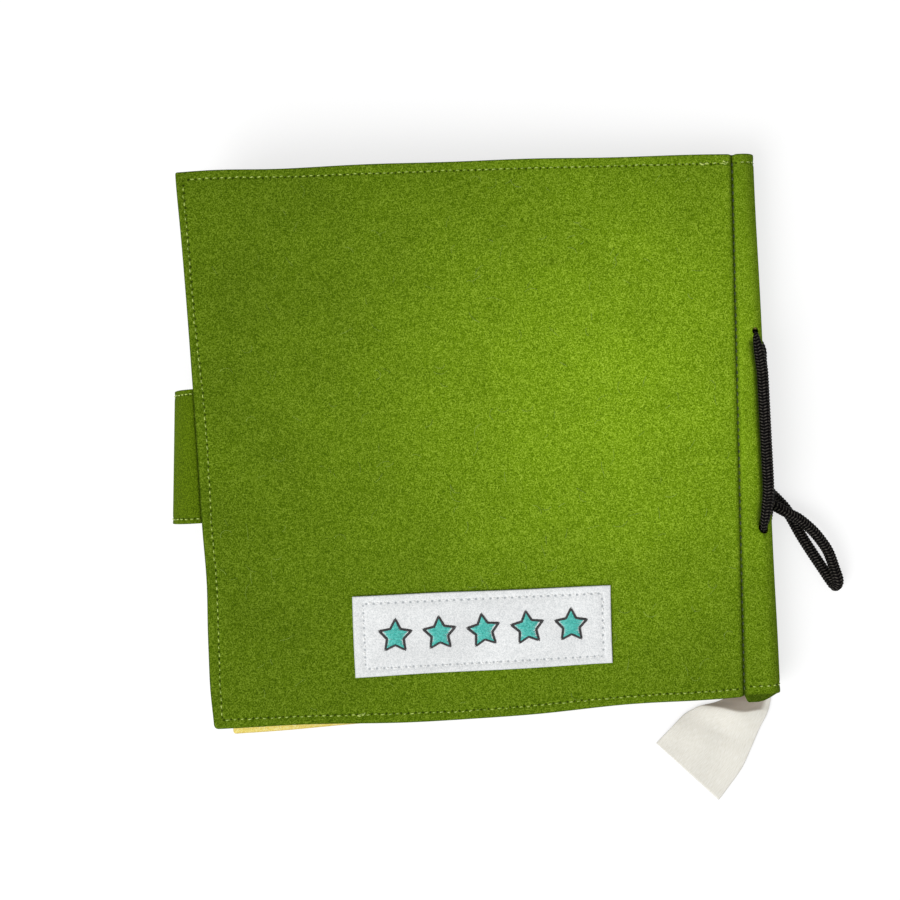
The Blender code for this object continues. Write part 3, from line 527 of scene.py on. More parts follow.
def closed_slab(name, top, bottom, material, page, seam=None):
    """A sheet of cloth as one closed mesh, from two grids of points and the band between them."""
    rows, columns = top.shape[:2]
    count = rows * columns
    index = np.arange(count).reshape(rows, columns)
    a, b = index[:-1, :-1].ravel(), index[1:, :-1].ravel()
    c, d = index[1:, 1:].ravel(), index[:-1, 1:].ravel()
    rim = np.concatenate([index[0, :-1], index[:-1, -1], index[-1, :0:-1], index[:0:-1, 0]])
    after = np.roll(rim, -1)
    faces = np.concatenate([
        np.stack([a, b, c, d], 1),
        np.stack([d, c, b, a], 1) + count,
        np.stack([rim, after, after + count, rim + count], 1),
    ])
    verts = np.concatenate([top.reshape(-1, 3), bottom.reshape(-1, 3)])
    piece = new_piece(name, verts, faces, material)
    outward(piece)
    if seam is None:
        seam = np.zeros(top.shape) + UNSEWN
    for kind, rows in (("page", page), ("seam", seam)):
        keep_on_mesh(piece, kind, np.concatenate([rows.reshape(-1, 3)] * 2))
    return piece


class Ply:
    """One cut of felt: a page's axes, its two levels in them, and how it strays from flat."""

    def __init__(self, axes, low, high, seed):
        self.axes = axes
        self.low = low
        self.high = high
        self.seed = seed

    def place(self, x, y, z):
        """Points in the frame, from arrays in the page's axes."""
        local = np.stack(np.broadcast_arrays(x, y, z + waviness(x + GROOVE_X, y, self.seed)), -1)
        turn = np.array(self.axes.to_3x3())
        return local @ turn.T + np.array(self.axes.translation)


EDGE_LINES_MM = (0, 0.12, 0.45, 1.1, 1.9, 2.6, 3.1, 3.6, 4.1, 4.6, 5.3, 6.4, 8.5)


def edge_lines(length, step, open_end=False):
    """Places along a side: close together at cut edges and seams, and wider apart between."""
    if not open_end:
        return side_lines(EDGE_LINES_MM, length, step)
    near = [mm * MM for mm in EDGE_LINES_MM]
    fold = 1.5 * FOLD_MM * MM
    return near + spread(near[-1], length - fold, step)[1:] + spread(length - fold, length, MM)[1:]


def round_corner(da, db, radius):
    """Bends the two edges of a square corner into an arc; da and db are distances from them."""
    near = (da < radius) & (db < radius)
    x, y = 1 - da / radius, 1 - db / radius
    turned_a = radius * (1 - x * np.sqrt(np.clip(1 - y * y / 2, 0, 1)))
    turned_b = radius * (1 - y * np.sqrt(np.clip(1 - x * x / 2, 0, 1)))
    return np.where(near, turned_a, da), np.where(near, turned_b, db)


def page_ply(name, ply, corners, material, rounds_mm=(1.9, 0.8), step=0.004, valley=0,
             sinks=(1, 1), bowed=True):
    """A cover or leaf: cut on three sides and running into its fold on the fourth.

    corners are the spine foot, fore foot, fore head and spine head in the page's axes, and
    rounds_mm the radii of the two fore corners. valley is 1 or -1 where the upper or lower face
    slopes into the stitched groove.
    """
    spine_foot, fore_foot, fore_head, spine_head = (np.array(c) for c in corners)
    width = np.linalg.norm((spine_foot + spine_head - fore_foot - fore_head) / 2)
    height = np.linalg.norm(fore_head - fore_foot)
    from_fore, from_foot = np.meshgrid(edge_lines(width, step, True), edge_lines(height, step),
                                       indexing="ij")
    from_head = height - from_foot
    edge = np.minimum(from_fore, np.minimum(from_foot, from_head))
    side_seam = from_fore < np.minimum(from_foot, from_head)
    real_fore, real_foot, real_head = (
        follow_seam(nominal, hand_guided_inset(side, from_fore, from_head, from_foot))
        for side, nominal in (("fore", from_fore), ("foot", from_foot), ("head", from_head)))
    a, b = round_corner(real_fore, real_foot, rounds_mm[0] * MM)
    a, c = round_corner(a, real_head, rounds_mm[1] * MM)
    b = np.where(from_foot > height / 2, height - c, b)
    # Scissors never cut quite straight
    b = b + CUT_WANDER * np.sin(a / 0.011 + ply.seed) * np.exp(-edge / 0.003) * np.sign(b - height / 2)
    a = a + CUT_WANDER * np.sin(b / 0.014 + 2 * ply.seed) * np.exp(-from_fore / 0.003)
    u, v = (a / width)[..., None], (b / height)[..., None]
    at_foot = fore_foot + (spine_foot - fore_foot) * u
    at_head = fore_head + (spine_head - fore_head) * u
    flat = at_foot + (at_head - at_foot) * v
    x, y = flat[..., 0], flat[..., 1]
    if bowed:
        foot_bow, head_bow = cover_bow("foot", x, y), cover_bow("head", x, y)
        share = from_foot / height
        y = y - foot_bow * (1 - share) ** 4 + head_bow * share**4
        x = x - cover_bow("fore", x, y) * (1 - from_fore / width) ** 6
    drop = rounded_edge(edge, CUT_ROUND_MM * MM)
    pressed = 1 - smooth(np.clip((width - from_fore) / (GROOVE_SLOPE_MM * MM), 0, 1))
    slope = GROOVE_DEPTH_MM * MM * pressed
    top = ply.high - drop - seam_sink(edge) * sinks[0] - (slope if valley > 0 else 0)
    bottom = ply.low + drop + seam_sink(edge) * sinks[1] + (slope if valley < 0 else 0)
    along = np.where(side_seam, y, x)
    page = np.stack([x, y, np.full_like(x, ply.seed * 0.37)], -1)
    # Painted shade in the groove, darkest at its bottom, where two folds of felt meet
    painted_shade = pressed**1.5 * groove_painted_shade(y) * abs(valley)
    seam = np.stack([edge - SEAM_INSET_MM * MM, along, painted_shade], -1)
    # The groove's seam draws the cut edges in a little
    if valley:
        y = y - np.sign(y) * GATHER_MM * MM * pressed * np.exp(-edge / 0.004)
    return closed_slab(name, ply.place(x, y, top), ply.place(x, y, bottom), material, page, seam)


def cover_corners():
    """The corners of a cover's plies in its page's axes."""
    skew = math.tan(GROOVE_SKEW)
    return ((-HALF_HEIGHT * skew, -HALF_HEIGHT),
            (FORE_SKEW / 2 - COVER_REACH, FORE_RISE_AT_FOOT - HALF_HEIGHT),
            (-FORE_SKEW / 2 - COVER_REACH, HALF_HEIGHT),
            (HALF_HEIGHT * skew, HALF_HEIGHT))


def leaf_corners(is_top):
    """The corners of a leaf in its page's axes; the top leaf was sewn in a little askew."""
    reach = COVER_REACH - (TOP_LEAF_INSET if is_top else LEAF_INSET)
    half = LEAF_HEIGHT / 2
    turn = TOP_LEAF_TURN if is_top else 0.0
    rise = TOP_LEAF_RISE if is_top else 0.0
    skew = math.tan(GROOVE_SKEW)
    fore = [Matrix.Rotation(turn, 2) @ Vector((-reach, side * half)) for side in (-1, 1)]
    return ((-half * skew, rise - half), (fore[0].x, fore[0].y + rise),
            (fore[1].x, fore[1].y + rise), (half * skew, rise + half))


# Stitches


def stitch_shape(around, rings, twist=True):
    """One lockstitch of two-ply thread along X, its ends bent down into the cloth."""
    length, radius = STITCH_LENGTH_MM * MM, THREAD_MM * MM / 2
    verts = []
    for i in range(rings):
        t = -1 + 2 * i / (rings - 1)
        full = math.sqrt(max(1 - t**6, 0.02))
        lift = radius * (1.0 - 3.2 * t**4)
        for k in range(around):
            angle = 2 * math.pi * k / around
            ply = 1 + (0.16 * math.cos(2 * (angle - t * 4.5)) if twist else 0)
            verts.append((t * length / 2, radius * full * ply * math.cos(angle),
                          lift + radius * full * ply * math.sin(angle)))
    faces = []
    for i in range(rings - 1):
        for k in range(around):
            j = (k + 1) % around
            faces.append((i * around + k, i * around + j, (i + 1) * around + j, (i + 1) * around + k))
    verts += [(-length / 2, 0, lift), (length / 2, 0, lift)]
    first, last = rings * around, rings * around + 1
    for k in range(around):
        j = (k + 1) % around
        faces.append((first, j, k, k))
        faces.append((last, (rings - 1) * around + k, (rings - 1) * around + j,
                      (rings - 1) * around + j))
    return np.array(verts), [tuple(dict.fromkeys(face)) for face in faces]


def sew(name, stitches, material, around=7, rings=9, laid_mm=0.0):
    """Joins stitches into one piece; each is a middle, a direction, an up and a scale.

    A laid embroidery thread has a thickness, and its scale stretches its length alone.
    """
    shape, faces = stitch_shape(around, rings, twist=not laid_mm)
    squash = laid_mm / THREAD_MM
    all_verts, all_faces = [], []
    for middle, along, up, scale in stitches:
        x = np.array(along) / np.linalg.norm(along)
        y = np.cross(up, x)
        y = y / np.linalg.norm(y)
        base = len(all_verts) * len(shape)
        sized = shape * (np.array((scale, squash, squash)) if laid_mm else scale)
        all_verts.append(sized @ np.stack([x, y, np.cross(x, y)]) + np.array(middle))
        all_faces += [tuple(i + base for i in face) for face in faces]
    return new_piece(name, np.concatenate(all_verts), all_faces, material)


def lay_threads(name, threads, material):
    """Joins laid embroidery threads into one piece."""
    return sew(name, threads, material, 5, 7, LAID_THREAD_MM)


def seam_run(place, start, end, side, rng, inset=None):
    """Stitches on one straight seam, from start to end in a sheet's own axes.

    place gives the frame's points for sheet coordinates on the sewn face; side is 1 or -1 for
    the face that looks up or down. inset gives how far the seam lies to the left of the line at
    a distance along it.
    """
    start, end = np.array(start), np.array(end)
    length = np.linalg.norm(end - start)
    pitch = STITCH_PITCH_MM * MM
    axis = int(abs(end[1] - start[1]) > abs(end[0] - start[0]))
    step = (end - start) / length
    # The stitches lie between the needle holes, which the felt's own axes count off
    first = math.ceil(min(start[axis], end[axis]) / pitch)
    last = math.floor(max(start[axis], end[axis]) / pitch)
    stitches = []
    for k in range(first, last):
        t = ((k + 0.5) * pitch - start[axis]) / (step[axis] * length)
        spot = start + (end - start) * t
        across = np.array((-step[1], step[0]))
        aside = inset(t * length) if inset else 0.0
        spot = spot + across * (aside + rng.uniform(-SEAM_SWAY_MM, SEAM_SWAY_MM) * MM)
        turned = step + across * (STITCH_SLANT + rng.uniform(-0.16, 0.16))
        middle = place(spot[0], spot[1])
        ahead = place(spot[0] + turned[0] * pitch / 4, spot[1] + turned[1] * pitch / 4)
        beside = place(spot[0] - turned[1] * pitch / 4, spot[1] + turned[0] * pitch / 4)
        up = np.cross(ahead - middle, beside - middle) * side
        size = rng.uniform(0.74, 1.06)
        # A tight stitch lies deeper in the felt's pile
        deeper = up / np.linalg.norm(up) * rng.uniform(0, 0.16) * MM
        stitches.append((middle - deeper, ahead - middle, up, size))
    return stitches


def back_tack(place, x, y, length, side, rng):
    """A few stitches sewn back and forth over each other, where a seam starts or ends."""
    stitches = []
    for _ in range(max(3, round(length / (1.1 * MM)))):
        spot_x = x + length * (rng.random() - 0.5)
        spot_y = y + rng.uniform(-0.6, 0.6) * MM
        turn = rng.choice((-1, 1)) * rng.uniform(0.15, 0.75)
        middle = place(spot_x, spot_y)
        ahead = place(spot_x + math.cos(turn) * MM, spot_y + math.sin(turn) * MM) - middle
        stitches.append((middle, ahead, (0, 0, side), rng.uniform(0.8, 1.25)))
    return stitches


def page_seams(ply, corners, side, rng, bowed=True):
    """The topstitching round a page's three cut sides, on its upper (1) or lower (-1) face."""
    spine_foot, fore_foot, fore_head, spine_head = (np.array(c) for c in corners)
    level = ply.high - SEAM_SINK_MM * MM if side > 0 else ply.low + SEAM_SINK_MM * MM

    def place(x, y):
        return ply.place(x, y, level)

    height = np.linalg.norm(fore_head - fore_foot)
    width = np.linalg.norm(spine_foot - fore_foot)

    def fore(from_head):
        bow = cover_bow("fore", 0, height / 2 - from_head) if bowed else 0
        return hand_guided_inset("fore", 0, from_head, height - from_head) - bow * 0.9

    def foot(from_fore):
        bow = cover_bow("foot", from_fore - width, 0) if bowed else 0
        return hand_guided_inset("foot", from_fore, 1, 0) - bow * 0.94

    def head(from_spine):
        bow = cover_bow("head", -from_spine, 0) if bowed else 0
        return hand_guided_inset("head", width - from_spine, 0, 1) - bow * 0.94

    # Each line starts and ends where its seam meets the next one
    runs = ((fore_foot + (fore(height), 0), spine_foot - (1.5 * MM, 0), foot),
            (fore_head - (0, head(width)), fore_foot + (0, foot(0)), fore),
            (spine_head - (1.5 * MM, 0), fore_head + (fore(0), 0), head))
    stitches = []
    for start, end, inset in runs:
        stitches += seam_run(place, start, end, side, rng, inset)
    return stitches


# Covers and leaves


BACK_FELT = Ply(BACK_AXES, -AXIS_LIFT - COVER_PLY, -AXIS_LIFT, 1)
BACK_LINING = Ply(BACK_AXES, -AXIS_LIFT - COVER_THICKNESS, -AXIS_LIFT - COVER_THICKNESS + COVER_PLY, 1)
FRONT_FELT = Ply(FRONT_AXES, AXIS_LIFT, AXIS_LIFT + COVER_PLY, 2)
FRONT_LINING = Ply(FRONT_AXES, AXIS_LIFT + COVER_THICKNESS - COVER_PLY, AXIS_LIFT + COVER_THICKNESS, 2)


def leaf_level(index):
    """The underside of a leaf in the binding; leaf 0 lies next to the front cover."""
    return COVER_THICKNESS + LEAF_GAP + index * (LEAF_THICKNESS + LEAF_GAP)


def leaf_plies(index):
    """A leaf's lower and upper cut of felt."""
    axes = page_axes(leaf_level(index) + LEAF_THICKNESS / 2, LEAF_SLOPE + index * LEAF_SLOPE_STEP)
    half = LEAF_THICKNESS / 2
    return Ply(axes, -half, LEAF_PLY - half, index + 3), Ply(axes, half - LEAF_PLY, half, index + 3)


def groove_painted_shade(y):
    """How strong the groove's painted shade is at a height: least in the tight middle, more towards its more
    open ends.
    """
    return 0.32 + 0.53 * np.clip(y / 0.09, 0, 1) + 0.38 * np.clip(-y / 0.09, 0, 1)


def fold_at(piece, body, level):
    """Bakes a page's piece into the frame's axes; the piece is not bent."""
    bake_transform(piece)


# Where the topstitching was tied off: places in a cover's axes and lengths
BACK_TACKS = ((-0.0085, 0.1112, 0.0050), (0.0000, 0.1114, 0.0022), (-0.1660, -0.1122, 0.0046))


def make_covers():
    """Each cover's outer felt and lining, topstitched together round three sides."""
    corners = cover_corners()
    rng = random.Random(11)
    for body, outer, lining, out, level in (
            ("back_cover", BACK_FELT, BACK_LINING, 1, BOOK_THICKNESS),
            ("front_cover", FRONT_FELT, FRONT_LINING, -1, 0.0)):
        sinks = (1, 0.1) if out > 0 else (0.1, 1)
        felt = page_ply(f"{body}_outer_felt", outer, corners, GREEN_FELT, valley=out, sinks=sinks)
        inner = page_ply(f"{body}_inside_felt", lining, corners, GREEN_FELT, sinks=sinks[::-1])
        stitches = page_seams(outer, corners, out, rng)
        level_out = outer.high - 0.2 * MM if out > 0 else outer.low + 0.2 * MM
        for x, y, length in BACK_TACKS:
            stitches += back_tack(lambda a, b: outer.place(a, b, level_out), x, y, length, out, rng)
        outside = sew(f"{body}_topstitching", stitches, GREEN_THREAD)
        inside = sew(f"{body}_inside_stitching", page_seams(lining, corners, -out, rng),
                     GREEN_THREAD, 6, 7)
        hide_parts(f"{body}_felt")
        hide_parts(f"{body}_lining")
        for piece in (felt, inner, outside, inside):
            fold_at(piece, body, level)


def make_leaves():
    """Four leaves, each of two cuts of felt sewn together round three sides."""
    rng = random.Random(12)
    for index, (cloth, thread, slot) in enumerate(LEAF_COLOURS):
        body = f"leaf_{index + 1}"
        corners = leaf_corners(index == LEAF_COUNT - 1)
        level = leaf_level(index) + LEAF_THICKNESS / 2
        for side, ply, word in zip((-1, 1), leaf_plies(index), ("lower", "upper")):
            sinks = (0.8, 0.1) if side > 0 else (0.1, 0.8)
            felt = page_ply(f"{body}_{word}_felt", ply, corners, cloth, (1.2, 1.2), 0.007,
                            sinks=sinks, bowed=False)
            sewn = sew(f"{body}_{word}_stitching",
                       page_seams(ply, corners, side, rng, bowed=False), thread, 5, 5)
            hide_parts(f"{body}_{word}_ply")
            for piece in (felt, sewn):
                fold_at(piece, body, level)


# Spine


# The spine felt bulges at its foot, over the label sewn into it: how far, and how soon it fades
FOOT_BULGE_MM = 3.0
FOOT_BULGE_FADE = 0.007


def spine_line(y):
    """The spine felt's outer line at one height: places, outward directions, depth in the groove."""
    open_x = GROOVE_X + math.tan(GROOVE_SKEW) * y
    middle = SPINE_X - SPINE_ROUND
    top = BOOK_THICKNESS
    rows = []
    for share in (0.0, 0.12, 0.3, 0.5, 0.75, 1.0):
        pressed = 1 - smooth(share)
        rows.append((open_x + share * GROOVE_SLOPE_MM * MM, top - pressed * GROOVE_DEPTH_MM * MM,
                     0.0, 1.0, pressed))
    flat_x = rows[-1][0]
    for i in range(1, 4):
        rows.append((flat_x + (middle - flat_x) * i / 4, top, 0.0, 1.0, 0.0))
    for i in range(13):
        angle = math.pi / 2 * (1 - i / 12)
        rows.append((middle + SPINE_ROUND * math.cos(angle),
                     top - SPINE_ROUND + SPINE_ROUND * math.sin(angle),
                     math.cos(angle), math.sin(angle), 0.0))
    lower = [(x, top - z, nx, -nz, pressed) for x, z, nx, nz, pressed in rows[::-1]]
    for i in range(1, 5):
        rows.append((SPINE_X, top - SPINE_ROUND - (top - 2 * SPINE_ROUND) * i / 5, 1.0, 0.0, 0.0))
    return np.array(rows + lower)


def spine_felt():
    """The felt that wraps the spine from groove to groove, with a hem seam at head and foot."""
    top, bottom, page, seam = [], [], [], []
    for place in edge_lines(BOOK_HEIGHT, 0.003):
        y = place - HALF_HEIGHT
        edge = min(place, BOOK_HEIGHT - place)
        line = spine_line(y)
        x, z, nx, nz, pressed = line.T
        travelled = travelled_along(line[:, :2])
        soft = 0.00018 * np.sin(y / 0.017 + 3 * nx) * np.cos(y / 0.041 + 2 * nz)
        fall = rounded_edge(edge, CUT_ROUND_MM * MM)
        bulge = np.clip((x - x[0]) / 0.0014, 0, 1) * np.clip((0.0068 - x) / 0.0070, 0, 1)
        drawn_in = y - math.copysign(GATHER_MM * MM, y) * pressed * math.exp(-edge / 0.004)
        drawn_in = (drawn_in - FOOT_BULGE_MM * MM * bulge * math.exp(-place / FOOT_BULGE_FADE)
                    * np.clip(nz, 0, 1))
        for face, out in ((top, soft - seam_sink(edge) - fall), (bottom, soft - COVER_PLY + fall)):
            face.append(np.stack([x + nx * out, drawn_in, z + nz * out], -1))
        page.append(np.stack([travelled, np.full_like(x, y), np.full_like(x, 0.3)], -1))
        # Painted shade in the groove
        painted_shade = pressed**1.5 * groove_painted_shade(y)
        seam.append(np.stack([np.full_like(x, edge - SEAM_INSET_MM * MM), travelled, painted_shade], -1))
    return closed_slab("spine_wrap_felt", *(np.array(face) for face in (top, bottom)), GREEN_FELT,
                       np.array(page), np.array(seam))


def spine_stitches(rng):
    """The hem seams at the spine's head and foot, and the two long seams down in its grooves."""
    pitch = STITCH_PITCH_MM * MM
    hems, grooves = [], []
    for side in (-1, 1):
        y = side * (HALF_HEIGHT - SEAM_INSET_MM * MM)
        line = spine_line(y)
        travelled = travelled_along(line[:, :2])
        for k in range(1, int(travelled[-1] / pitch) - 1):
            x, z, nx, nz = (np.interp((k + 0.5) * pitch, travelled, line[:, i]) for i in range(4))
            up = np.array((nx, 0, nz))
            middle = np.array((x, y, z)) - up * SEAM_SINK_MM * MM
            along = np.cross((0, 1, 0), up)
            hems.append((middle, along + (0, rng.uniform(-0.1, 0.1), 0), up, 1.0))
    turn = math.tan(GROOVE_SKEW)
    for level, up in ((BOOK_THICKNESS - GROOVE_DEPTH_MM * MM, 1), (GROOVE_DEPTH_MM * MM, -1)):
        for k in range(int(BOOK_HEIGHT / pitch) - 1):
            y = -HALF_HEIGHT + (k + 1) * pitch
            middle = (GROOVE_X + turn * y + rng.uniform(-0.1, 0.1) * MM, y, level + up * 0.1 * MM)
            grooves.append((middle, (turn + rng.uniform(-0.1, 0.1), 1, 0), (0, 0, up), 1.0))
    return hems, grooves


# Cord


CORD_MM = 4.8
CORD_RADIUS = CORD_MM * MM / 2
CORD_SEAT = 0.0004
CORD_BEND_SHARE = 1.3
CORD_LEAN = math.radians(63)
# The two holes in the spine, and the small tear beside the one at the head
HOLE_HEAD = (0.0053, 0.0384)
HOLE_FOOT = (0.0044, -0.0454)
HOLE_CLEAR = 0.00035
HOLE_SHARE = 0.80
TEAR_BEYOND_MM = 1.1
TEAR_LEAN = 0.1
TEAR_SHARE = 0.62
KNOT_LENGTH = 0.0072
KNOT_WIDTH = 0.0046
KNOT_HEIGHT = 0.0080
KNOT_Y = -0.0316
KNOT_X_FROM_SPINE = 0.0027
# Each passage, from under the spine to its round top, as shares of the bend, the bend and the round
PASSAGE_LOW_SHARES = (-0.3, 0.3, 0.1)
PASSAGE_IN_SHARES = ((0.55, 0.0, 0.66), (0.2, 0.0, 1.1))
# Above the felt the cord swings out gradually: how far along it is, and its share of the way out
PASSAGE_TOP_MM = ((0.2, 0.0, -3.4), (1.4, 0.03, -0.5), (4.2, 0.16, 0.9), (8.5, 0.50, 1.5), (14.0, 0.86, 1.7))
# The free loop: x from the spine's edge, y, and 1 where it lies on the strand below, not the table
LOOP_LINE = (
    (0.0009, -0.0345, 0.80), (0.0041, -0.0362, 1.00), (0.0072, -0.0381, 1.05),
    (0.0103, -0.0400, 1.05), (0.0138, -0.0421, 1.00), (0.0189, -0.0468, 1.00),
    (0.0227, -0.0517, 1.00), (0.0258, -0.0571, 1.00), (0.0283, -0.0649, 0.92),
    (0.0295, -0.0686, 0.77), (0.0298, -0.0710, 0.45), (0.0291, -0.0722, 0.13),
    (0.0276, -0.0702, 0.00), (0.0246, -0.0652, 0.00), (0.0197, -0.0570, 0.00),
    (0.0153, -0.0492, 0.00), (0.0118, -0.0421, 0.00), (0.0093, -0.0375, 0.00),
    (0.0063, -0.0338, 0.00), (0.0029, -0.0301, 0.00))
# The braid: columns of yarn round the cord, and the floats along it, drawn at 1.3 mm, which
# is a little coarser than the real ones, so that they show
BRAID_COLUMNS = 8
BRAID_ROW_MM = 1.3
BRAID_LEAN = 0.5
BRAID_RELIEF_MM = 0.3
SQUEEZE_SHARE = 0.44
SQUEEZE_REACH_MM = 6.0
CORD_SHADOW_MM = 1.3
CORD_SHADOW_DARK = 0.85


def lacing_route():
    """The cord's held run through the spine, close to the solid's, and its two passages."""
    seat = SPINE_ROUND + CORD_RADIUS + CORD_SEAT
    low_drop = SPINE_ROUND - CORD_RADIUS - SEAT / 2
    low_x = SPINE_X - SPINE_ROUND + math.sqrt(seat**2 - low_drop**2)
    low_z = CORD_RADIUS + SEAT / 2
    high_x = SPINE_X - SPINE_ROUND + seat * math.cos(CORD_LEAN)
    high_z = BOOK_THICKNESS - SPINE_ROUND + seat * math.sin(CORD_LEAN)
    knot_top = KNOT_Y + KNOT_LENGTH / 2 + SEAT
    knot_foot = KNOT_Y - KNOT_LENGTH / 2 - SEAT
    bend = CORD_MM * MM * CORD_BEND_SHARE

    def passage(hole_x, hole_y, side):
        """From under the spine to above it, through one pair of holes; side is where it leads."""
        out_y = hole_y + side * bend
        places = [(low_x, out_y + side * bend, low_z), (low_x, out_y, low_z)]
        x, y, z = PASSAGE_LOW_SHARES
        places.append((low_x + x * bend, hole_y + side * y * bend, low_z + z * bend))
        for x, y, z in PASSAGE_IN_SHARES:
            places.append((hole_x + x * bend, hole_y + side * y * bend, z * SPINE_ROUND))
        places.append((hole_x, hole_y, BOOK_THICKNESS / 2))
        for along, share, rise in PASSAGE_TOP_MM:
            places.append((hole_x + (high_x - hole_x) * share, hole_y + side * along * MM,
                           BOOK_THICKNESS + rise * MM))
        places.append((high_x, hole_y + side * 20 * MM, high_z))
        return places

    head = passage(*HOLE_HEAD, -1)
    foot = passage(*HOLE_FOOT, 1)
    middle_y = (HOLE_HEAD[1] + HOLE_FOOT[1]) / 2
    route = [(low_x, knot_top, low_z), (low_x, (knot_top + HOLE_HEAD[1]) / 2, low_z)]
    route += head
    route += [(high_x, middle_y, high_z)]
    route += foot[::-1][:-2]
    route += [(low_x, knot_foot, low_z)]
    return route, head, foot


def loop_route():
    """The free loop's points: it crosses itself, where the solid is a plain bend."""
    low = CORD_RADIUS + SEAT / 2
    lift = CORD_MM * MM + 2 * SEAT
    return [(SPINE_X + x, y, low + raised_share * lift) for x, y, raised_share in LOOP_LINE]


def smooth_line(route, step):
    """Even points on a smooth curve through a route's points."""
    places = [np.array(p, float) for p in route]
    ends = [2 * places[0] - places[1]] + places + [2 * places[-1] - places[-2]]
    fine = []
    for a, b, c, d in zip(ends, ends[1:], ends[2:], ends[3:]):
        for t in np.linspace(0, 1, 24, endpoint=False):
            fine.append(0.5 * (2 * b + (c - a) * t + (2 * a - 5 * b + 4 * c - d) * t**2
                               + (3 * b - a - 3 * c + d) * t**3))
    fine.append(places[-1])
    fine = np.array(fine)
    travelled = travelled_along(fine)
    count = max(2, round(travelled[-1] / step))
    even = np.linspace(0, travelled[-1], count + 1)
    return np.stack([np.interp(even, travelled, fine[:, k]) for k in range(3)], -1), even


def braided_cord(name, route, radius, material, around=70, step=0.2 * MM, squeezes=(),
                 relief=BRAID_RELIEF_MM * MM):
    """A tubular braid: down each column of yarns, floats lean against the next column's.

    squeezes are places that pinch the cord, as the holes in the felt do.
    """
    line, travelled = smooth_line(route, step)
    ahead = np.gradient(line, axis=0)
    ahead /= np.linalg.norm(ahead, axis=1)[:, None]
    side = np.cross(ahead[0], (0, 0, 1.0))
    sides = []
    for direction in ahead:
        side = side - direction * side.dot(direction)
        side /= np.linalg.norm(side)
        sides.append(side)
    sides = np.array(sides)
    ups = np.cross(sides, ahead)
    angle = np.arange(around) * 2 * math.pi / around
    column = angle * BRAID_COLUMNS / (2 * math.pi)
    inside = column - np.floor(column) - 0.5
    lean = np.where(np.floor(column) % 2 == 0, 1.0, -1.0)
    rows = travelled[:, None] / (BRAID_ROW_MM * MM) + (lean * inside * BRAID_LEAN)[None, :]
    crest = (0.65 + 0.35 * np.cos(math.pi * inside))[None, :] * (0.5 + 0.5 * np.cos(2 * math.pi * rows))
    reach = radius + relief * (crest - 0.6)
    pinch = np.ones(len(line))
    for spot in squeezes:
        near = np.linalg.norm(line - np.array(spot), axis=1)
        pinch -= SQUEEZE_SHARE * hump(near, 0, SQUEEZE_REACH_MM * MM)
    reach = reach * pinch[:, None]
    ring = (np.cos(angle)[None, :, None] * sides[:, None] + np.sin(angle)[None, :, None] * ups[:, None])
    verts = line[:, None] + ring * reach[..., None]
    piece = new_piece(name, verts.reshape(-1, 3), tube_faces(len(line), around), material)
    outward(piece)
    # The crests, kept for the cord's painted highlights
    crest_rows = np.stack([crest, np.broadcast_to(travelled[:, None], crest.shape),
                           np.broadcast_to(angle[None, :], crest.shape)], -1)
    keep_on_mesh(piece, "braid_crest_highlight", crest_rows.reshape(-1, 3))
    return piece, line, travelled[-1]


def cloth_area(mesh):
    """The area of a mesh's faces, both sides of the cloth together."""
    return sum(face.area for face in mesh.polygons)


def punch(piece, passages, page_of, radius=CORD_RADIUS * HOLE_SHARE + HOLE_CLEAR):
    """Punches the cord's holes through a piece of felt, then marks its cloth axes again."""
    for passage in passages:
        # A cut that falls on the cloth's own corners can fail, so it is tried again a little aside
        for nudge in (0.0, 0.03, -0.04, 0.07):
            aside = [(x + nudge * MM, y + nudge * MM, z) for x, y, z in passage]
            drill, _, _ = braided_cord("hole_punch", aside, radius, BLACK_BRAID, 20, 0.8 * MM, relief=0.0)
            hole = piece.modifiers.new("hole", "BOOLEAN")
            hole.operation = "DIFFERENCE"
            hole.solver = "EXACT"
            hole.object = drill
            bpy.context.view_layer.update()
            graph = bpy.context.evaluated_depsgraph_get()
            punched = bpy.data.meshes.new_from_object(piece.evaluated_get(graph))
            piece.modifiers.clear()
            bpy.data.objects.remove(drill, do_unlink=True)
            if cloth_area(punched) > 0.9 * cloth_area(piece.data):
                piece.data = punched
                break
    spots = np.empty(len(piece.data.vertices) * 3)
    piece.data.vertices.foreach_get("co", spots)
    page, seam = page_of(spots.reshape(-1, 3))
    for name, rows in (("page", page), ("seam", seam)):
        old = piece.data.attributes.get(name)
        if old:
            piece.data.attributes.remove(old)
        keep_on_mesh(piece, name, rows)


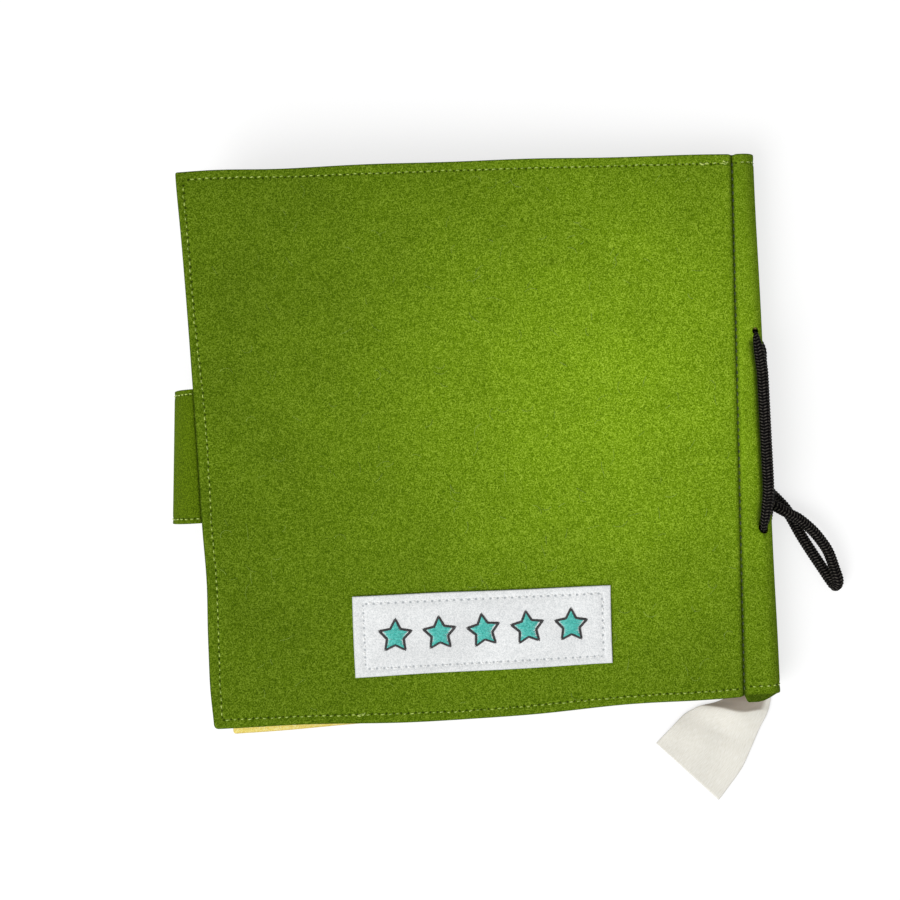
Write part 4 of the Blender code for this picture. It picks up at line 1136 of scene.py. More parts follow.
def spine_cloth_axes(spots):
    """The spine felt's own axes at places on it: across its wrap, along the book, and its seams."""
    page, seam = np.zeros(spots.shape), np.zeros(spots.shape)
    base = spine_line(0.0)
    x, z, _, _, pressed = base.T
    travelled = travelled_along(base[:, :2])
    skew = math.tan(GROOVE_SKEW)
    from_groove = np.clip((0.012 - (spots[:, 0] - GROOVE_X)) / 0.012, 0, 1)
    square_x = spots[:, 0] - skew * spots[:, 1] * from_groove
    gap = np.hypot(square_x[:, None] - x[None, :], spots[:, 2:3] - z[None, :])
    nearest = gap.argmin(1)
    page[:, 0] = travelled[nearest] + (square_x - x[nearest]) * np.sign(spots[:, 2] - BOOK_THICKNESS / 2)
    page[:, 1] = spots[:, 1]
    seam[:, 0] = HALF_HEIGHT - np.abs(spots[:, 1]) - SEAM_INSET_MM * MM
    seam[:, 1] = page[:, 0]
    seam[:, 2] = pressed[nearest] ** 1.5 * groove_painted_shade(spots[:, 1])
    cord = smooth_line(lacing_route()[0], MM)[0]
    cord = cord[cord[:, 2] > BOOK_THICKNESS]
    cord = cord[cord[:, 1].argsort()]
    short = np.interp(spots[:, 1], cord[:, 1], cord[:, 0]) - CORD_RADIUS - spots[:, 0]
    # The felt lies in the cord's shadow close beside it
    beside = hump(np.clip(short, 0, None), 0, CORD_SHADOW_MM * MM)
    beside[(spots[:, 1] > cord[-1, 1]) | (spots[:, 1] < cord[0, 1])] = 0
    beside[spots[:, 2] < BOOK_THICKNESS - 3 * MM] = 0
    seam[:, 2] = np.maximum(seam[:, 2], CORD_SHADOW_DARK * beside)
    return page, seam


def flat_cloth_axes(spots):
    """The axes of a flat strip inside the spine, which has no seam of its own."""
    return spots, np.zeros(spots.shape) + UNSEWN


def stack_edge_x(low, high):
    """How far a flat layer between two levels reaches into the rounded spine felt."""
    inner_round = SPINE_ROUND - COVER_PLY
    beyond = max(SPINE_ROUND - low, high - (BOOK_THICKNESS - SPINE_ROUND), 0.0)
    depth = math.sqrt(max(inner_round**2 - beyond**2, 0.0))
    return SPINE_X - SPINE_ROUND + depth - SEAT


def margin_felt(name, low, high, half_height, material):
    """The edge of a leaf or lining inside the spine, cut straight on three sides."""
    skew = math.tan(GROOVE_SKEW)
    end_x = stack_edge_x(low, high)
    across, along = np.meshgrid(np.linspace(0, 1, 9), edge_lines(2 * half_height, 0.008), indexing="ij")
    y = along - half_height
    start = GROOVE_X + skew * y + 0.15 * MM
    x = start + (end_x - start) * across
    edge = np.minimum(np.minimum(along, 2 * half_height - along), (1 - across) * 0.01)
    drop = rounded_edge(edge, min(CUT_ROUND_MM * MM, (high - low) / 3))
    top = np.stack([x, y, high - drop], -1)
    bottom = np.stack([x, y, low + drop], -1)
    return closed_slab(name, top, bottom, material, np.stack([x, y, np.full_like(x, low)], -1))


def make_spine():
    """The spine felt, its seams, and the laced margins of the linings and leaves inside it."""
    rng = random.Random(21)
    _, *holes = lacing_route()
    felt = spine_felt()
    # The cord's pull has torn the head hole open a little beyond it
    slot = [(HOLE_HEAD[0], HOLE_HEAD[1] + (TEAR_BEYOND_MM - TEAR_LEAN * z) * MM, BOOK_THICKNESS + z * MM)
            for z in (-5, -2, 2)]
    punch(felt, holes, spine_cloth_axes)
    punch(felt, (slot,), spine_cloth_axes, CORD_RADIUS * TEAR_SHARE)
    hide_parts("spine_felt")
    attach(felt, "binding")
    hems, grooves = spine_stitches(rng)
    for name, stitches, thread in (("spine_hem_stitching", hems, GREEN_THREAD),
                                   ("spine_groove_stitching", grooves, SHADED_VALLEY_THREAD)):
        seam = sew(name, stitches, thread, 6, 7)
        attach(seam, "binding")
    low, high = COVER_PLY + SEAT, COVER_THICKNESS
    margins = [("front_lining", low, high, HALF_HEIGHT, GREEN_FELT, "green_felt"),
               ("back_lining", BOOK_THICKNESS - high, BOOK_THICKNESS - low, HALF_HEIGHT,
                GREEN_FELT, "green_felt")]
    for index, (cloth, _, slot) in enumerate(LEAF_COLOURS):
        level = leaf_level(index)
        margins.append((f"leaf_{index + 1}", level, level + LEAF_THICKNESS, LEAF_HEIGHT / 2, cloth, slot))
    for name, low, high, half_height, cloth, slot in margins:
        strip = margin_felt(f"{name}_laced_margin", low, high, half_height, cloth)
        punch(strip, holes, flat_cloth_axes)
        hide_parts(f"{name}_margin")
        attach(strip, "binding")


def knot_of_cord():
    """The tied end under the spine: two wraps of the cord pulled tight round its own strands."""
    around, rows = 60, 56
    angle = np.arange(around) * 2 * math.pi / around
    share = np.linspace(-0.5, 0.5, rows)
    lean = 0.08 * np.sin(angle)[None, :]
    wrap = np.abs(np.sin(2 * math.pi * (share[:, None] + lean)))
    swell = np.sqrt(np.clip(1 - (2 * share[:, None]) ** 6, 0.02, 1))
    turned = 2 * math.pi * share[:, None] * 7
    floats = 0.5 + 0.5 * np.cos(angle[None, :] * 24 + np.sin(turned))
    body = swell * (0.84 + 0.16 * wrap) - 0.035 * (1 - floats * np.abs(np.sin(turned)))
    x = SPINE_X + KNOT_X_FROM_SPINE + KNOT_WIDTH / 2 * body * np.cos(angle)[None, :]
    z = KNOT_HEIGHT / 2 + SEAT / 2 + KNOT_HEIGHT / 2 * body * np.sin(angle)[None, :]
    y = KNOT_Y + KNOT_LENGTH * share[:, None] + np.zeros_like(x)
    piece = new_piece("lacing_knot_wraps", np.stack([x, y, z], -1).reshape(-1, 3),
                      tube_faces(rows, around, flipped=True), BLACK_BRAID)
    # The wraps' crests, kept for the cord's painted highlights
    knot_highlight = np.stack(np.broadcast_arrays(floats * wrap, share[:, None], angle[None, :]), -1)
    keep_on_mesh(piece, "braid_crest_highlight", knot_highlight.reshape(-1, 3))
    return piece


def make_cord():
    """The lacing through the spine, its knot, and the free loop that the book hangs by."""
    route, _, _ = lacing_route()
    holes = [(x, y, BOOK_THICKNESS - MM) for x, y in (HOLE_HEAD, HOLE_FOOT)]
    lacing, _, _ = braided_cord("lacing_braid", route, CORD_RADIUS, BLACK_BRAID, squeezes=holes)
    loop, line, length = braided_cord("hanging_loop_braid", loop_route(), CORD_RADIUS, BLACK_BRAID)
    knot = knot_of_cord()
    for piece, node in ((lacing, "lacing_cord"), (loop, "cord_loop"), (knot, "lacing_knot")):
        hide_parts(node)
        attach(piece, "binding")
    path = [tuple(float(n) for n in p) for p in line[::14]] + [tuple(float(n) for n in line[-1])]


# Closing strap


STRAP_WIDTH = 0.0555
STRAP_Y = -0.0016
STRAP_PLY = 0.0012
STRAP_THICKNESS = 2 * STRAP_PLY + SEAT
STRAP_BULGE_AT_HEAD = 0.0104
STRAP_BULGE_AT_FOOT = 0.0151
STRAP_TIP_LENGTH = 0.0400
STRAP_BEND_LENGTH = 0.0530
STRAP_CLEAR = 0.00015
STRAP_TUCK = 0.0007
STRAP_SEAM_MM = 2.0
STRAP_SINK = 0.25 * MM
TAPE_THICKNESS = 0.0006
TAPE_MARGIN = 0.0050
LOOP_TAPE_EXTRA = 0.0020
STRAP_LINES_MM = (0, 0.12, 0.35, 0.9, 1.5, 2.0, 2.5, 3.2, 4.5)


def strap_place(along, across, depth):
    """A place on the strap: along it from the cover's edge, across it from its head side."""
    root = BACK_AXES @ Vector((-COVER_REACH, 0, -AXIS_LIFT - COVER_PLY - SEAT))
    face = BACK_AXES @ Vector((-COVER_REACH, 0, -AXIS_LIFT))
    fold_x = min(root.x, face.x) - STRAP_CLEAR + STRAP_TUCK
    top, bottom = root.z - STRAP_THICKNESS / 2, STRAP_THICKNESS / 2
    share = across / STRAP_WIDTH
    bulge = (STRAP_BULGE_AT_HEAD + (STRAP_BULGE_AT_FOOT - STRAP_BULGE_AT_HEAD) * share
             - STRAP_THICKNESS / 2)
    # A little sag between its two folds keeps the round part from looking turned on a lathe
    angle = math.pi * np.clip(along / STRAP_BEND_LENGTH, 0, 1)
    rise = (top - bottom) / 2
    nx, nz = -np.sin(angle) / bulge, np.cos(angle) / rise
    size = np.hypot(nx, nz)
    out = STRAP_THICKNESS / 2 - depth
    x = -bulge * np.sin(angle) + nx / size * out - STRAP_CLEAR
    z = rise * np.cos(angle) + nz / size * out + (top + bottom) / 2
    flat = np.clip(along - STRAP_BEND_LENGTH, 0, None)
    x = np.where(flat > 0, STRAP_CLEAR + flat, x)
    y = STRAP_WIDTH / 2 - across
    turn_x = x * math.cos(FORE_TURN) - y * math.sin(FORE_TURN)
    turn_y = x * math.sin(FORE_TURN) + y * math.cos(FORE_TURN)
    return np.stack(np.broadcast_arrays(fold_x + turn_x, STRAP_Y + turn_y, z), -1)


def strap_felt(name, along_lines, depths, material, tip=False):
    """One ply of a stretch of the strap, its two long edges cut square and slightly furred."""
    along, across = np.meshgrid(along_lines, side_lines(STRAP_LINES_MM, STRAP_WIDTH, 0.003), indexing="ij")
    edge = np.minimum(across, STRAP_WIDTH - across)
    from_end = STRAP_BEND_LENGTH + STRAP_TIP_LENGTH - along
    if tip:
        edge = np.minimum(edge, from_end)
        a, b = round_corner(from_end, across, 3 * MM)
        a, c = round_corner(a, STRAP_WIDTH - b, 3 * MM)
        along = STRAP_BEND_LENGTH + STRAP_TIP_LENGTH - a
        across = np.where(across > STRAP_WIDTH / 2, STRAP_WIDTH - c, b)
    drop = rounded_edge(edge, 0.35 * MM)
    sink = STRAP_SINK * hump(edge, STRAP_SEAM_MM * MM, SEAM_SPREAD_MM * MM)
    outer, inner = depths
    top = strap_place(along, across, outer + drop + (sink if outer == 0 else 0))
    bottom = strap_place(along, across, inner - drop - (sink if outer > 0 else 0))
    page = np.stack([along, across, np.full_like(along, 0.5 + outer * 100)], -1)
    seam = np.stack([edge - STRAP_SEAM_MM * MM, along, np.zeros_like(along)], -1)
    return closed_slab(name, top, bottom, material, page, seam)


def strap_seam(from_along, to_along, depth, side, rng, across_end=False):
    """Stitches along both long edges of the strap, on its outer (1) or inner (-1) face."""
    pitch = STITCH_PITCH_MM * MM
    inset = STRAP_SEAM_MM * MM
    stitches = []

    def add(along, across, ahead_along, ahead_across):
        middle = strap_place(along, across, depth)
        ahead = strap_place(along + ahead_along, across + ahead_across, depth) - middle
        lift = strap_place(along, across, depth - side * 0.5 * MM) - middle
        stitches.append((middle, ahead, lift, rng.uniform(0.9, 1.05)))

    for k in range(math.ceil(from_along / pitch), math.floor(to_along / pitch)):
        at = (k + 0.5) * pitch
        for across in (inset, STRAP_WIDTH - inset):
            add(at, across + rng.uniform(-0.1, 0.1) * MM, 0.5 * MM, rng.uniform(-0.05, 0.05) * MM)
    if across_end:
        end = STRAP_BEND_LENGTH + STRAP_TIP_LENGTH - inset
        for k in range(1, int((STRAP_WIDTH - 2 * inset) / pitch)):
            add(end, inset + (k + 0.5) * pitch, 0.0, 0.5 * MM)
    return stitches


def make_strap():
    """The strap in two stretches that meet in the middle of its bend."""
    rng = random.Random(31)
    half = STRAP_BEND_LENGTH / 2
    end = STRAP_BEND_LENGTH + STRAP_TIP_LENGTH
    upper = spread(0, half, 0.0012)
    tip_lines = [end - mm * MM for mm in STRAP_LINES_MM[::-1]]
    lower = spread(half, STRAP_BEND_LENGTH, 0.0012) + spread(STRAP_BEND_LENGTH, tip_lines[0], 0.003)[1:-1]
    lower += tip_lines
    fold_high = strap_place(np.array(0.0), np.array(STRAP_WIDTH / 2), np.array(0.0))
    fold_low = strap_place(np.array(STRAP_BEND_LENGTH), np.array(STRAP_WIDTH / 2), np.array(0.0))
    outer = (0.0, STRAP_PLY)
    inner = (STRAP_PLY + SEAT, STRAP_THICKNESS)
    upper_pieces = [
        strap_felt("strap_upper_outside_felt", upper, outer, STRAP_GREEN_FELT),
        strap_felt("strap_upper_inside_felt", upper, inner, STRAP_GREEN_FELT),
        sew("strap_upper_stitching", strap_seam(0, half, STRAP_SINK, 1, rng), GREEN_THREAD),
        sew("strap_upper_inside_stitching", strap_seam(0, half, STRAP_THICKNESS - STRAP_SINK, -1, rng),
            GREEN_THREAD, 5, 5)]
    lower_pieces = [
        strap_felt("strap_lower_outside_felt", lower, outer, STRAP_GREEN_FELT, True),
        strap_felt("strap_lower_inside_felt", lower, inner, STRAP_GREEN_FELT, True),
        sew("strap_lower_stitching", strap_seam(half, end - 2 * MM, STRAP_SINK, 1, rng, True),
            GREEN_THREAD),
        sew("strap_lower_inside_stitching",
            strap_seam(half, end - 2 * MM, STRAP_THICKNESS - STRAP_SINK, -1, rng, True),
            GREEN_THREAD, 5, 5)]
    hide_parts("strap_outer_ply")
    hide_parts("strap_inner_ply")
    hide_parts("strap_tip_outer_ply")
    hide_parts("strap_tip_inner_ply")
    for piece in upper_pieces:
        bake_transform(piece)
    for piece in lower_pieces:
        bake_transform(piece)
    make_tapes()


PATCH_LINES_MM = (0, 0.1, 0.35, 0.9, 1.8, 2.6, 3.1, 3.5, 3.9, 4.6)
PATCH_SEAM_MM = 3.5


def patch_felt(name, place, low, high, corners, material, insets, step=0.003, edge_mm=0.35):
    """A four-sided piece of felt or tape laid on a page; insets are its seam's four distances.

    corners run from the low-x low-y one round to the low-x high-y one, and the insets from the
    low-x side round to the high-y side.
    """
    a, b, c, d = (np.array(p) for p in corners)
    width, height = np.linalg.norm(b - a), np.linalg.norm(d - a)
    base = PATCH_SEAM_MM * MM
    u, v = np.meshgrid(*(side_lines(PATCH_LINES_MM, length, step) for length in (width, height)),
                       indexing="ij")
    distances = np.stack([u, v, width - u, height - v])
    edge = distances.min(0)
    left, foot, right, head = (follow_seam(nominal, mm * MM, base, 0.004) if mm else nominal
                               for nominal, mm in zip(distances, insets))
    real_u = np.where(u < width / 2, left, width - right)
    real_v = np.where(v < height / 2, foot, height - head)
    real_u = real_u + 0.12 * MM * np.sin(v / 0.009 + width * 900) * np.exp(-edge / 0.002)
    real_v = real_v + 0.12 * MM * np.sin(u / 0.011 + height * 700) * np.exp(-edge / 0.002)
    share_u, share_v = (real_u / width)[..., None], (real_v / height)[..., None]
    flat = (a * (1 - share_u) + b * share_u) * (1 - share_v) + (d * (1 - share_u) + c * share_u) * share_v
    x, y = flat[..., 0], flat[..., 1]
    thickness = high - low
    drop = rounded_edge(edge, min(edge_mm * MM, abs(thickness) / 2.2)) * np.sign(thickness)
    sink = min(0.3 * MM, abs(thickness) / 2.5) * hump(edge, base, 0.7 * MM) * np.sign(thickness)
    across = np.abs(distances[[0, 2]]).min(0) < np.abs(distances[[1, 3]]).min(0)
    page = np.stack([x, y, np.full_like(x, high * 90)], -1)
    seam = np.stack([edge - base, np.where(across, y, x), np.zeros_like(x)], -1)
    return closed_slab(name, place(x, y, high - drop - sink), place(x, y, low + drop), material,
                       page, seam)


def patch_seams(place, level, corners, insets, side, rng):
    """Straight seams inside a four-sided piece, at its insets from the four sides."""
    a, b, c, d = (np.array(p, float) for p in corners)
    right, up = (b - a) / np.linalg.norm(b - a), (d - a) / np.linalg.norm(d - a)
    left_mm, foot_mm, right_mm, head_mm = (mm * MM for mm in insets)
    a, b = a + right * left_mm + up * foot_mm, b - right * right_mm + up * foot_mm
    c, d = c - right * right_mm - up * head_mm, d + right * left_mm - up * head_mm
    stitches = []
    for start, end in ((d, a), (a, b), (b, c), (c, d)):
        stitches += seam_run(lambda x, y: place(x, y, level), start, end, side, rng)
    return stitches


def felt_shape(name, place, outline, low, high, material, hole=0.0):
    """A shape cut from thin felt, star-like round its middle, with an optional round hole."""
    outline = np.array(outline, float)
    middle = outline.mean(0) if not hole else np.zeros(2)
    reach = np.linalg.norm(outline - middle, axis=1)
    thickness = high - low
    rings = []
    for mm in (0, 0.1, 0.3, 0.8, 1.6, 2.0, 2.4, 3.2):
        rings.append(np.clip(mm * MM / reach, 0, 0.5))
    inner = hole / reach if hole else np.full_like(reach, 0.02)
    start = rings[-1]
    for share in (0.25, 0.5, 0.75, 1.0):
        rings.append(start + (1 - inner - start) * share)
    shrink = np.stack(rings)
    edge = shrink * reach[None, :]
    flat = middle + (outline - middle)[None] * (1 - shrink[..., None])
    flat = np.concatenate([flat, flat[:, :1]], 1)
    edge = np.concatenate([edge, edge[:, :1]], 1)
    x, y = flat[..., 0], flat[..., 1]
    drop = rounded_edge(edge, min(0.3 * MM, thickness / 2.2))
    if hole:
        drop = drop * (np.arange(len(rings)) < len(rings) - 1)[:, None]
    sink = min(0.25 * MM, thickness / 3) * hump(edge, 2.0 * MM, 0.6 * MM)
    top, bottom = place(x, y, high - drop - sink), place(x, y, low + drop)
    rows, columns = len(rings), len(outline)
    index = np.arange(rows * columns).reshape(rows, columns)
    beside = np.roll(index, -1, 1)
    count = rows * columns
    faces = np.stack([index[:-1].ravel(), index[1:].ravel(), beside[1:].ravel(), beside[:-1].ravel()], 1)
    faces = np.concatenate([faces, faces[:, ::-1] + count,
                            np.stack([beside[0], beside[0] + count, index[0] + count, index[0]], 1)])
    faces = faces.tolist()
    if hole:
        faces += np.stack([index[-1], index[-1] + count, beside[-1] + count, beside[-1]], 1).tolist()
    else:
        faces += [index[-1].tolist(), (index[-1][::-1] + count).tolist()]
    verts = np.concatenate([top[:, :-1].reshape(-1, 3), bottom[:, :-1].reshape(-1, 3)])
    piece = new_piece(name, verts, faces, material)
    outward(piece)
    page = np.stack([x, y, np.full_like(x, low * 90 + high * 50)], -1)[:, :-1].reshape(-1, 3)
    keep_on_mesh(piece, "page", np.concatenate([page, page]))
    keep_on_mesh(piece, "seam", np.zeros((2 * count, 3)) + UNSEWN)
    return piece


def outline_stitches(place, level, outline, inset_mm, rng):
    """Running stitches that follow a shape's outline inside its edge."""
    outline = np.array(outline, float)
    middle = outline.mean(0)
    reach = np.linalg.norm(outline - middle, axis=1)[:, None]
    line = middle + (outline - middle) * (1 - inset_mm * MM / reach)
    line = np.concatenate([line, line[:1]])
    travelled = travelled_along(line)
    count = int(travelled[-1] / (STITCH_PITCH_MM * MM))
    stitches = []
    for k in range(count):
        at = travelled[-1] * (k + 0.5) / count
        spots = [[np.interp(at + d, travelled, line[:, i]) for i in (0, 1)] for d in (0, 0.4 * MM)]
        middle_place = place(spots[0][0], spots[0][1], level)
        ahead = place(spots[1][0], spots[1][1], level) - middle_place
        up = place(spots[0][0], spots[0][1], level + MM) - middle_place
        stitches.append((middle_place, ahead, up, rng.uniform(0.85, 1.0)))
    return stitches


def turned_corners(from_x, to_x, from_y, to_y, turn=0.0):
    """The four corners of a rectangle turned round its middle."""
    middle = np.array(((from_x + to_x) / 2, (from_y + to_y) / 2))
    spin = np.array(((math.cos(turn), -math.sin(turn)), (math.sin(turn), math.cos(turn))))
    places = ((from_x, from_y), (to_x, from_y), (to_x, to_y), (from_x, to_y))
    return [middle + spin @ (np.array(place) - middle) for place in places]


def make_tapes():
    """The hook tape on the strap's tip and the loop tape on the front cover that it grips."""
    rng = random.Random(41)
    half = STRAP_WIDTH / 2
    low = STRAP_THICKNESS + SEAT

    def on_tip(x, y, z):
        return strap_place(STRAP_BEND_LENGTH + x, half - y, z)

    inset = half - TAPE_MARGIN
    corners = turned_corners(2 * TAPE_MARGIN, STRAP_TIP_LENGTH - TAPE_MARGIN, -inset, inset)

    def above(x, y, z):
        flat = on_tip(x, y, 0.0)
        flat[..., 2] = z
        return flat

    hooks = patch_felt("strap_hook_tape", above, low, low + TAPE_THICKNESS * 0.6, corners, HOOK_TAPE,
                       (0, 0, 0, 0), 0.004, 0.1)
    pegs = []
    for x in spread(2 * TAPE_MARGIN + 2 * MM, STRAP_TIP_LENGTH - TAPE_MARGIN - 2 * MM, 1.5 * MM):
        for y in spread(-inset + 2 * MM, inset - 2 * MM, 1.7 * MM):
            lean = rng.uniform(-0.3, 0.3)
            pegs.append((above(x, y, low + TAPE_THICKNESS * 0.7), (lean, 0.35, 1.0), (1, 0, 0), 0.34))
    stubble = sew("strap_hook_rows", pegs, HOOK_TAPE, 4, 3)
    tape_seam = sew("strap_tape_stitching",
                    patch_seams(above, low + TAPE_THICKNESS * 0.6, corners, (1.2,) * 4, 1, rng),
                    GREEN_THREAD, 5, 5)
    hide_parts("hook_tape")
    for piece in (hooks, stubble, tape_seam):
        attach(piece, "strap_tip")
    reach = half - TAPE_MARGIN + LOOP_TAPE_EXTRA
    corners = turned_corners(-COVER_REACH + TAPE_MARGIN, -COVER_REACH + STRAP_TIP_LENGTH,
                             STRAP_Y - reach, STRAP_Y + reach)
    face = AXIS_LIFT - SEAT
    loops = patch_felt("cover_loop_tape", FRONT_FELT.place, face, face - TAPE_THICKNESS, corners,
                       LOOP_TAPE, (0, 0, 0, 0), 0.004, 0.1)
    seam = sew("cover_loop_tape_stitching",
               patch_seams(FRONT_FELT.place, face - TAPE_THICKNESS, corners, (1.2,) * 4, -1, rng),
               GREEN_THREAD, 5, 5)
    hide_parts("loop_tape")
    for piece in (loops, seam):
        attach(piece, "front_cover")


# Name patch


PATCH_WIDTH = 0.1082
PATCH_HEIGHT = 0.0337
PATCH_THICKNESS = 0.0010
PATCH_FROM_FORE_EDGE = 0.0609
PATCH_FROM_FOOT = 0.0180
PATCH_TURN = math.radians(-0.45)
PATCH_INSETS_MM = (4.3, 3.1, 3.5, 3.1)
STAR_COUNT = 5
STAR_PITCH_MM = 18.5
STAR_REACH_MM = 7.0
STAR_WAIST = 0.52
STAR_POINTS = 5


def star_points(middle, reach, turn):
    """The corners of a plump star."""
    turns = [turn + k * math.pi / STAR_POINTS for k in range(2 * STAR_POINTS)]
    return [np.array(middle) + reach * (STAR_WAIST if k % 2 else 1) * np.array((math.sin(t), math.cos(t)))
            for k, t in enumerate(turns)]


def even_outline(corners, step):
    """Points along a closed outline, at most a step apart."""
    points = []
    for a, b in zip(corners, corners[1:] + corners[:1]):
        count = max(1, math.ceil(np.linalg.norm(b - a) / step))
        points += [a + (b - a) * i / count for i in range(count)]
    return points


def satin_fill(place, level, corners, gap_mm, rng):
    """Long parallel embroidery threads that fill a shape from one side to the other."""
    threads = []
    low, high = min(c[1] for c in corners), max(c[1] for c in corners)
    for y in spread(low + 0.2 * MM, high - 0.2 * MM, gap_mm * MM):
        crossings = []
        for a, b in zip(corners, corners[1:] + corners[:1]):
            if (a[1] - y) * (b[1] - y) < 0:
                crossings.append(a[0] + (b[0] - a[0]) * (y - a[1]) / (b[1] - a[1]))
        crossings.sort()
        for left, right in zip(crossings[::2], crossings[1::2]):
            if right - left < 0.6 * MM:
                continue
            middle = place((left + right) / 2, y, level)
            ahead = place(right, y + rng.uniform(-0.1, 0.1) * MM, level) - middle
            reach = right - left + 0.5 * MM
            threads.append((middle, ahead, (0, 0, 1), reach / (STITCH_LENGTH_MM * MM)))
    return threads


def satin_border(place, level, corners, width_mm, gap_mm, rng):
    """Short embroidery threads laid across an outline, close enough to hide the felt."""
    points = even_outline(corners, gap_mm * MM)
    threads = []
    for before, spot, after in zip(points[-1:] + points[:-1], points, points[1:] + points[:1]):
        along = after - before
        along = along / np.linalg.norm(along)
        across = np.array((-along[1], along[0])) + along * 0.25
        half = width_mm * MM / 2 * rng.uniform(0.88, 1.1)
        middle = place(spot[0], spot[1], level)
        ahead = place(spot[0] + across[0] * half, spot[1] + across[1] * half, level) - middle
        threads.append((middle, ahead, (0, 0, 1), width_mm / STITCH_LENGTH_MM))
    return threads


def make_name_patch():
    """The white felt patch, sewn down with white thread, with a plain row of stars on it."""
    rng = random.Random(51)
    fore = -COVER_REACH
    corners = turned_corners(fore + PATCH_FROM_FORE_EDGE, fore + PATCH_FROM_FORE_EDGE + PATCH_WIDTH,
                             PATCH_FROM_FOOT - HALF_HEIGHT,
                             PATCH_FROM_FOOT - HALF_HEIGHT + PATCH_HEIGHT, PATCH_TURN)
    # The patch was cut a little narrow at its spine end
    corners[2] = corners[2] + (0.4 * MM, -1.0 * MM)
    low = -AXIS_LIFT + SEAT
    high = low + PATCH_THICKNESS
    place = BACK_FELT.place
    felt = patch_felt("white_patch_felt", place, low, high, corners, WHITE_FELT, PATCH_INSETS_MM, 0.0025)
    seam = sew("white_patch_stitching",
               patch_seams(place, high - 0.3 * MM, corners, PATCH_INSETS_MM, 1, rng), WHITE_THREAD)
    middle = sum(corners) / 4
    fills, borders = [], []
    for k in range(STAR_COUNT):
        at = middle + np.array(((k - (STAR_COUNT - 1) / 2) * STAR_PITCH_MM * MM, 0))
        star = star_points(at, STAR_REACH_MM * MM, math.radians(rng.uniform(-6, 6)))
        fills += satin_fill(place, high, star, LAID_THREAD_MM, rng)
        borders += satin_border(place, high + 0.12 * MM, star, 1.3, 0.3, rng)
    stars = lay_threads("patch_star_fill", fills, TEAL_THREAD)
    edges = lay_threads("patch_star_borders", borders, BLACK_THREAD)
    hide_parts("name_patch")
    for piece in (felt, seam, stars, edges):
        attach(piece, "back_cover")


# Things sewn on the pages


POCKET_WIDTH = 0.1300
POCKET_HEIGHT = 0.0700
POCKET_THICKNESS = 0.0012
POCKET_FROM_FORE_EDGE = 0.0300
POCKET_FROM_FOOT = 0.0120
CLOCK_FROM_HINGE = 0.1400
CLOCK_Y = 0.0450
DIAL_RADIUS = 0.0460
DIAL_THICKNESS = 0.0008
HAND_THICKNESS = 0.0007
HAND_WIDTH = 0.0070
HOUR_HAND_LENGTH = 0.0240
MINUTE_HAND_LENGTH = 0.0350
HUB_RADIUS = 0.0062
SNAP_PIN_RADIUS = 0.0024
SNAP_HEAD_RADIUS = 0.0048
SNAP_HEAD_THICKNESS = 0.0006
SNAP_CLEAR = 0.0004
HOUR_HAND_TURN = math.radians(-35)
MINUTE_HAND_TURN = math.radians(62)
PICTURE_THICKNESS = 0.0008
PICTURE_FROM_HINGE = 0.1720
PICTURE_RADIUS = 0.0320
SHAPE_SIZE = 0.0360
SHAPE_PITCH = 0.0560


def hinge_to_page(x, y):
    """A place in a page's hinge axes, in its axes square to the book."""
    turn = -GROOVE_SKEW
    return np.array((x * math.cos(turn) - y * math.sin(turn), x * math.sin(turn) + y * math.cos(turn)))


def circle_points(radius, count=72):
    """Points round the middle."""
    turns = np.arange(count) * 2 * math.pi / count
    return np.stack([radius * np.cos(turns), radius * np.sin(turns)], -1)


def petal_points(waves, depth_share, sharp=False, count=240):
    """A flower, star or sun: a circle whose radius swings in and out."""
    turns = np.arange(count) * 2 * math.pi / count
    swing = np.cos(waves * turns)
    if sharp:
        phase = (waves * turns / (2 * math.pi)) % 1
        swing = np.abs(phase * 2 - 1) * 2 - 1
    reach = PICTURE_RADIUS * (1 - depth_share + depth_share * swing)
    return np.stack([reach * np.cos(turns), reach * np.sin(turns)], -1)


def corner_points(sides, size):
    """A square or triangle with softly rounded corners."""
    half = size / 2
    start = math.pi / 4 if sides == 4 else math.pi / 2
    reach = half * (math.sqrt(2) if sides == 4 else 1.2)
    corners = [reach * np.array((math.cos(start + k * 2 * math.pi / sides),
                                 math.sin(start + k * 2 * math.pi / sides))) for k in range(sides)]
    points = np.array(even_outline(corners, 0.4 * MM))
    window = np.ones(9) / 9
    wrapped = np.concatenate([points[-4:], points, points[:4]])
    return np.stack([np.convolve(wrapped[:, k], window, "valid") for k in (0, 1)], -1)


def hand_points(length):
    """A clock hand: a ring round the snap and a blade that narrows to its tip."""
    half = HAND_WIDTH / 2
    join = math.asin(half / HUB_RADIUS)
    turns = np.linspace(join, 2 * math.pi - join, 40)
    ring = [HUB_RADIUS * np.array((math.cos(t), math.sin(t))) for t in turns]
    blade = [np.array((length - HAND_WIDTH, -half)), np.array((length, 0.0)),
             np.array((length - HAND_WIDTH, half))]
    return np.array(even_outline(ring + blade, 1.0 * MM))


def stitched_shape(name, node, body, slot, place, middle, outline, low, high, material, thread, rng,
                   turn=0.0, hole=0.0, inset_mm=2.0, sunk_mm=0.12):
    """A felt shape with running stitches inside its edge, on a body in place of a node."""
    cos, sin = math.cos(turn - GROOVE_SKEW), math.sin(turn - GROOVE_SKEW)

    def placed(x, y, z):
        return place(middle[0] + x * cos - y * sin, middle[1] + x * sin + y * cos, z)

    felt = felt_shape(name, placed, outline, low, high, material, hole)
    sewn = sew(f"{name}_stitching", outline_stitches(placed, high - sunk_mm * MM, outline, inset_mm, rng),
               thread, 5, 5)
    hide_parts(node)
    for piece in (felt, sewn):
        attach(piece, body)
    return placed


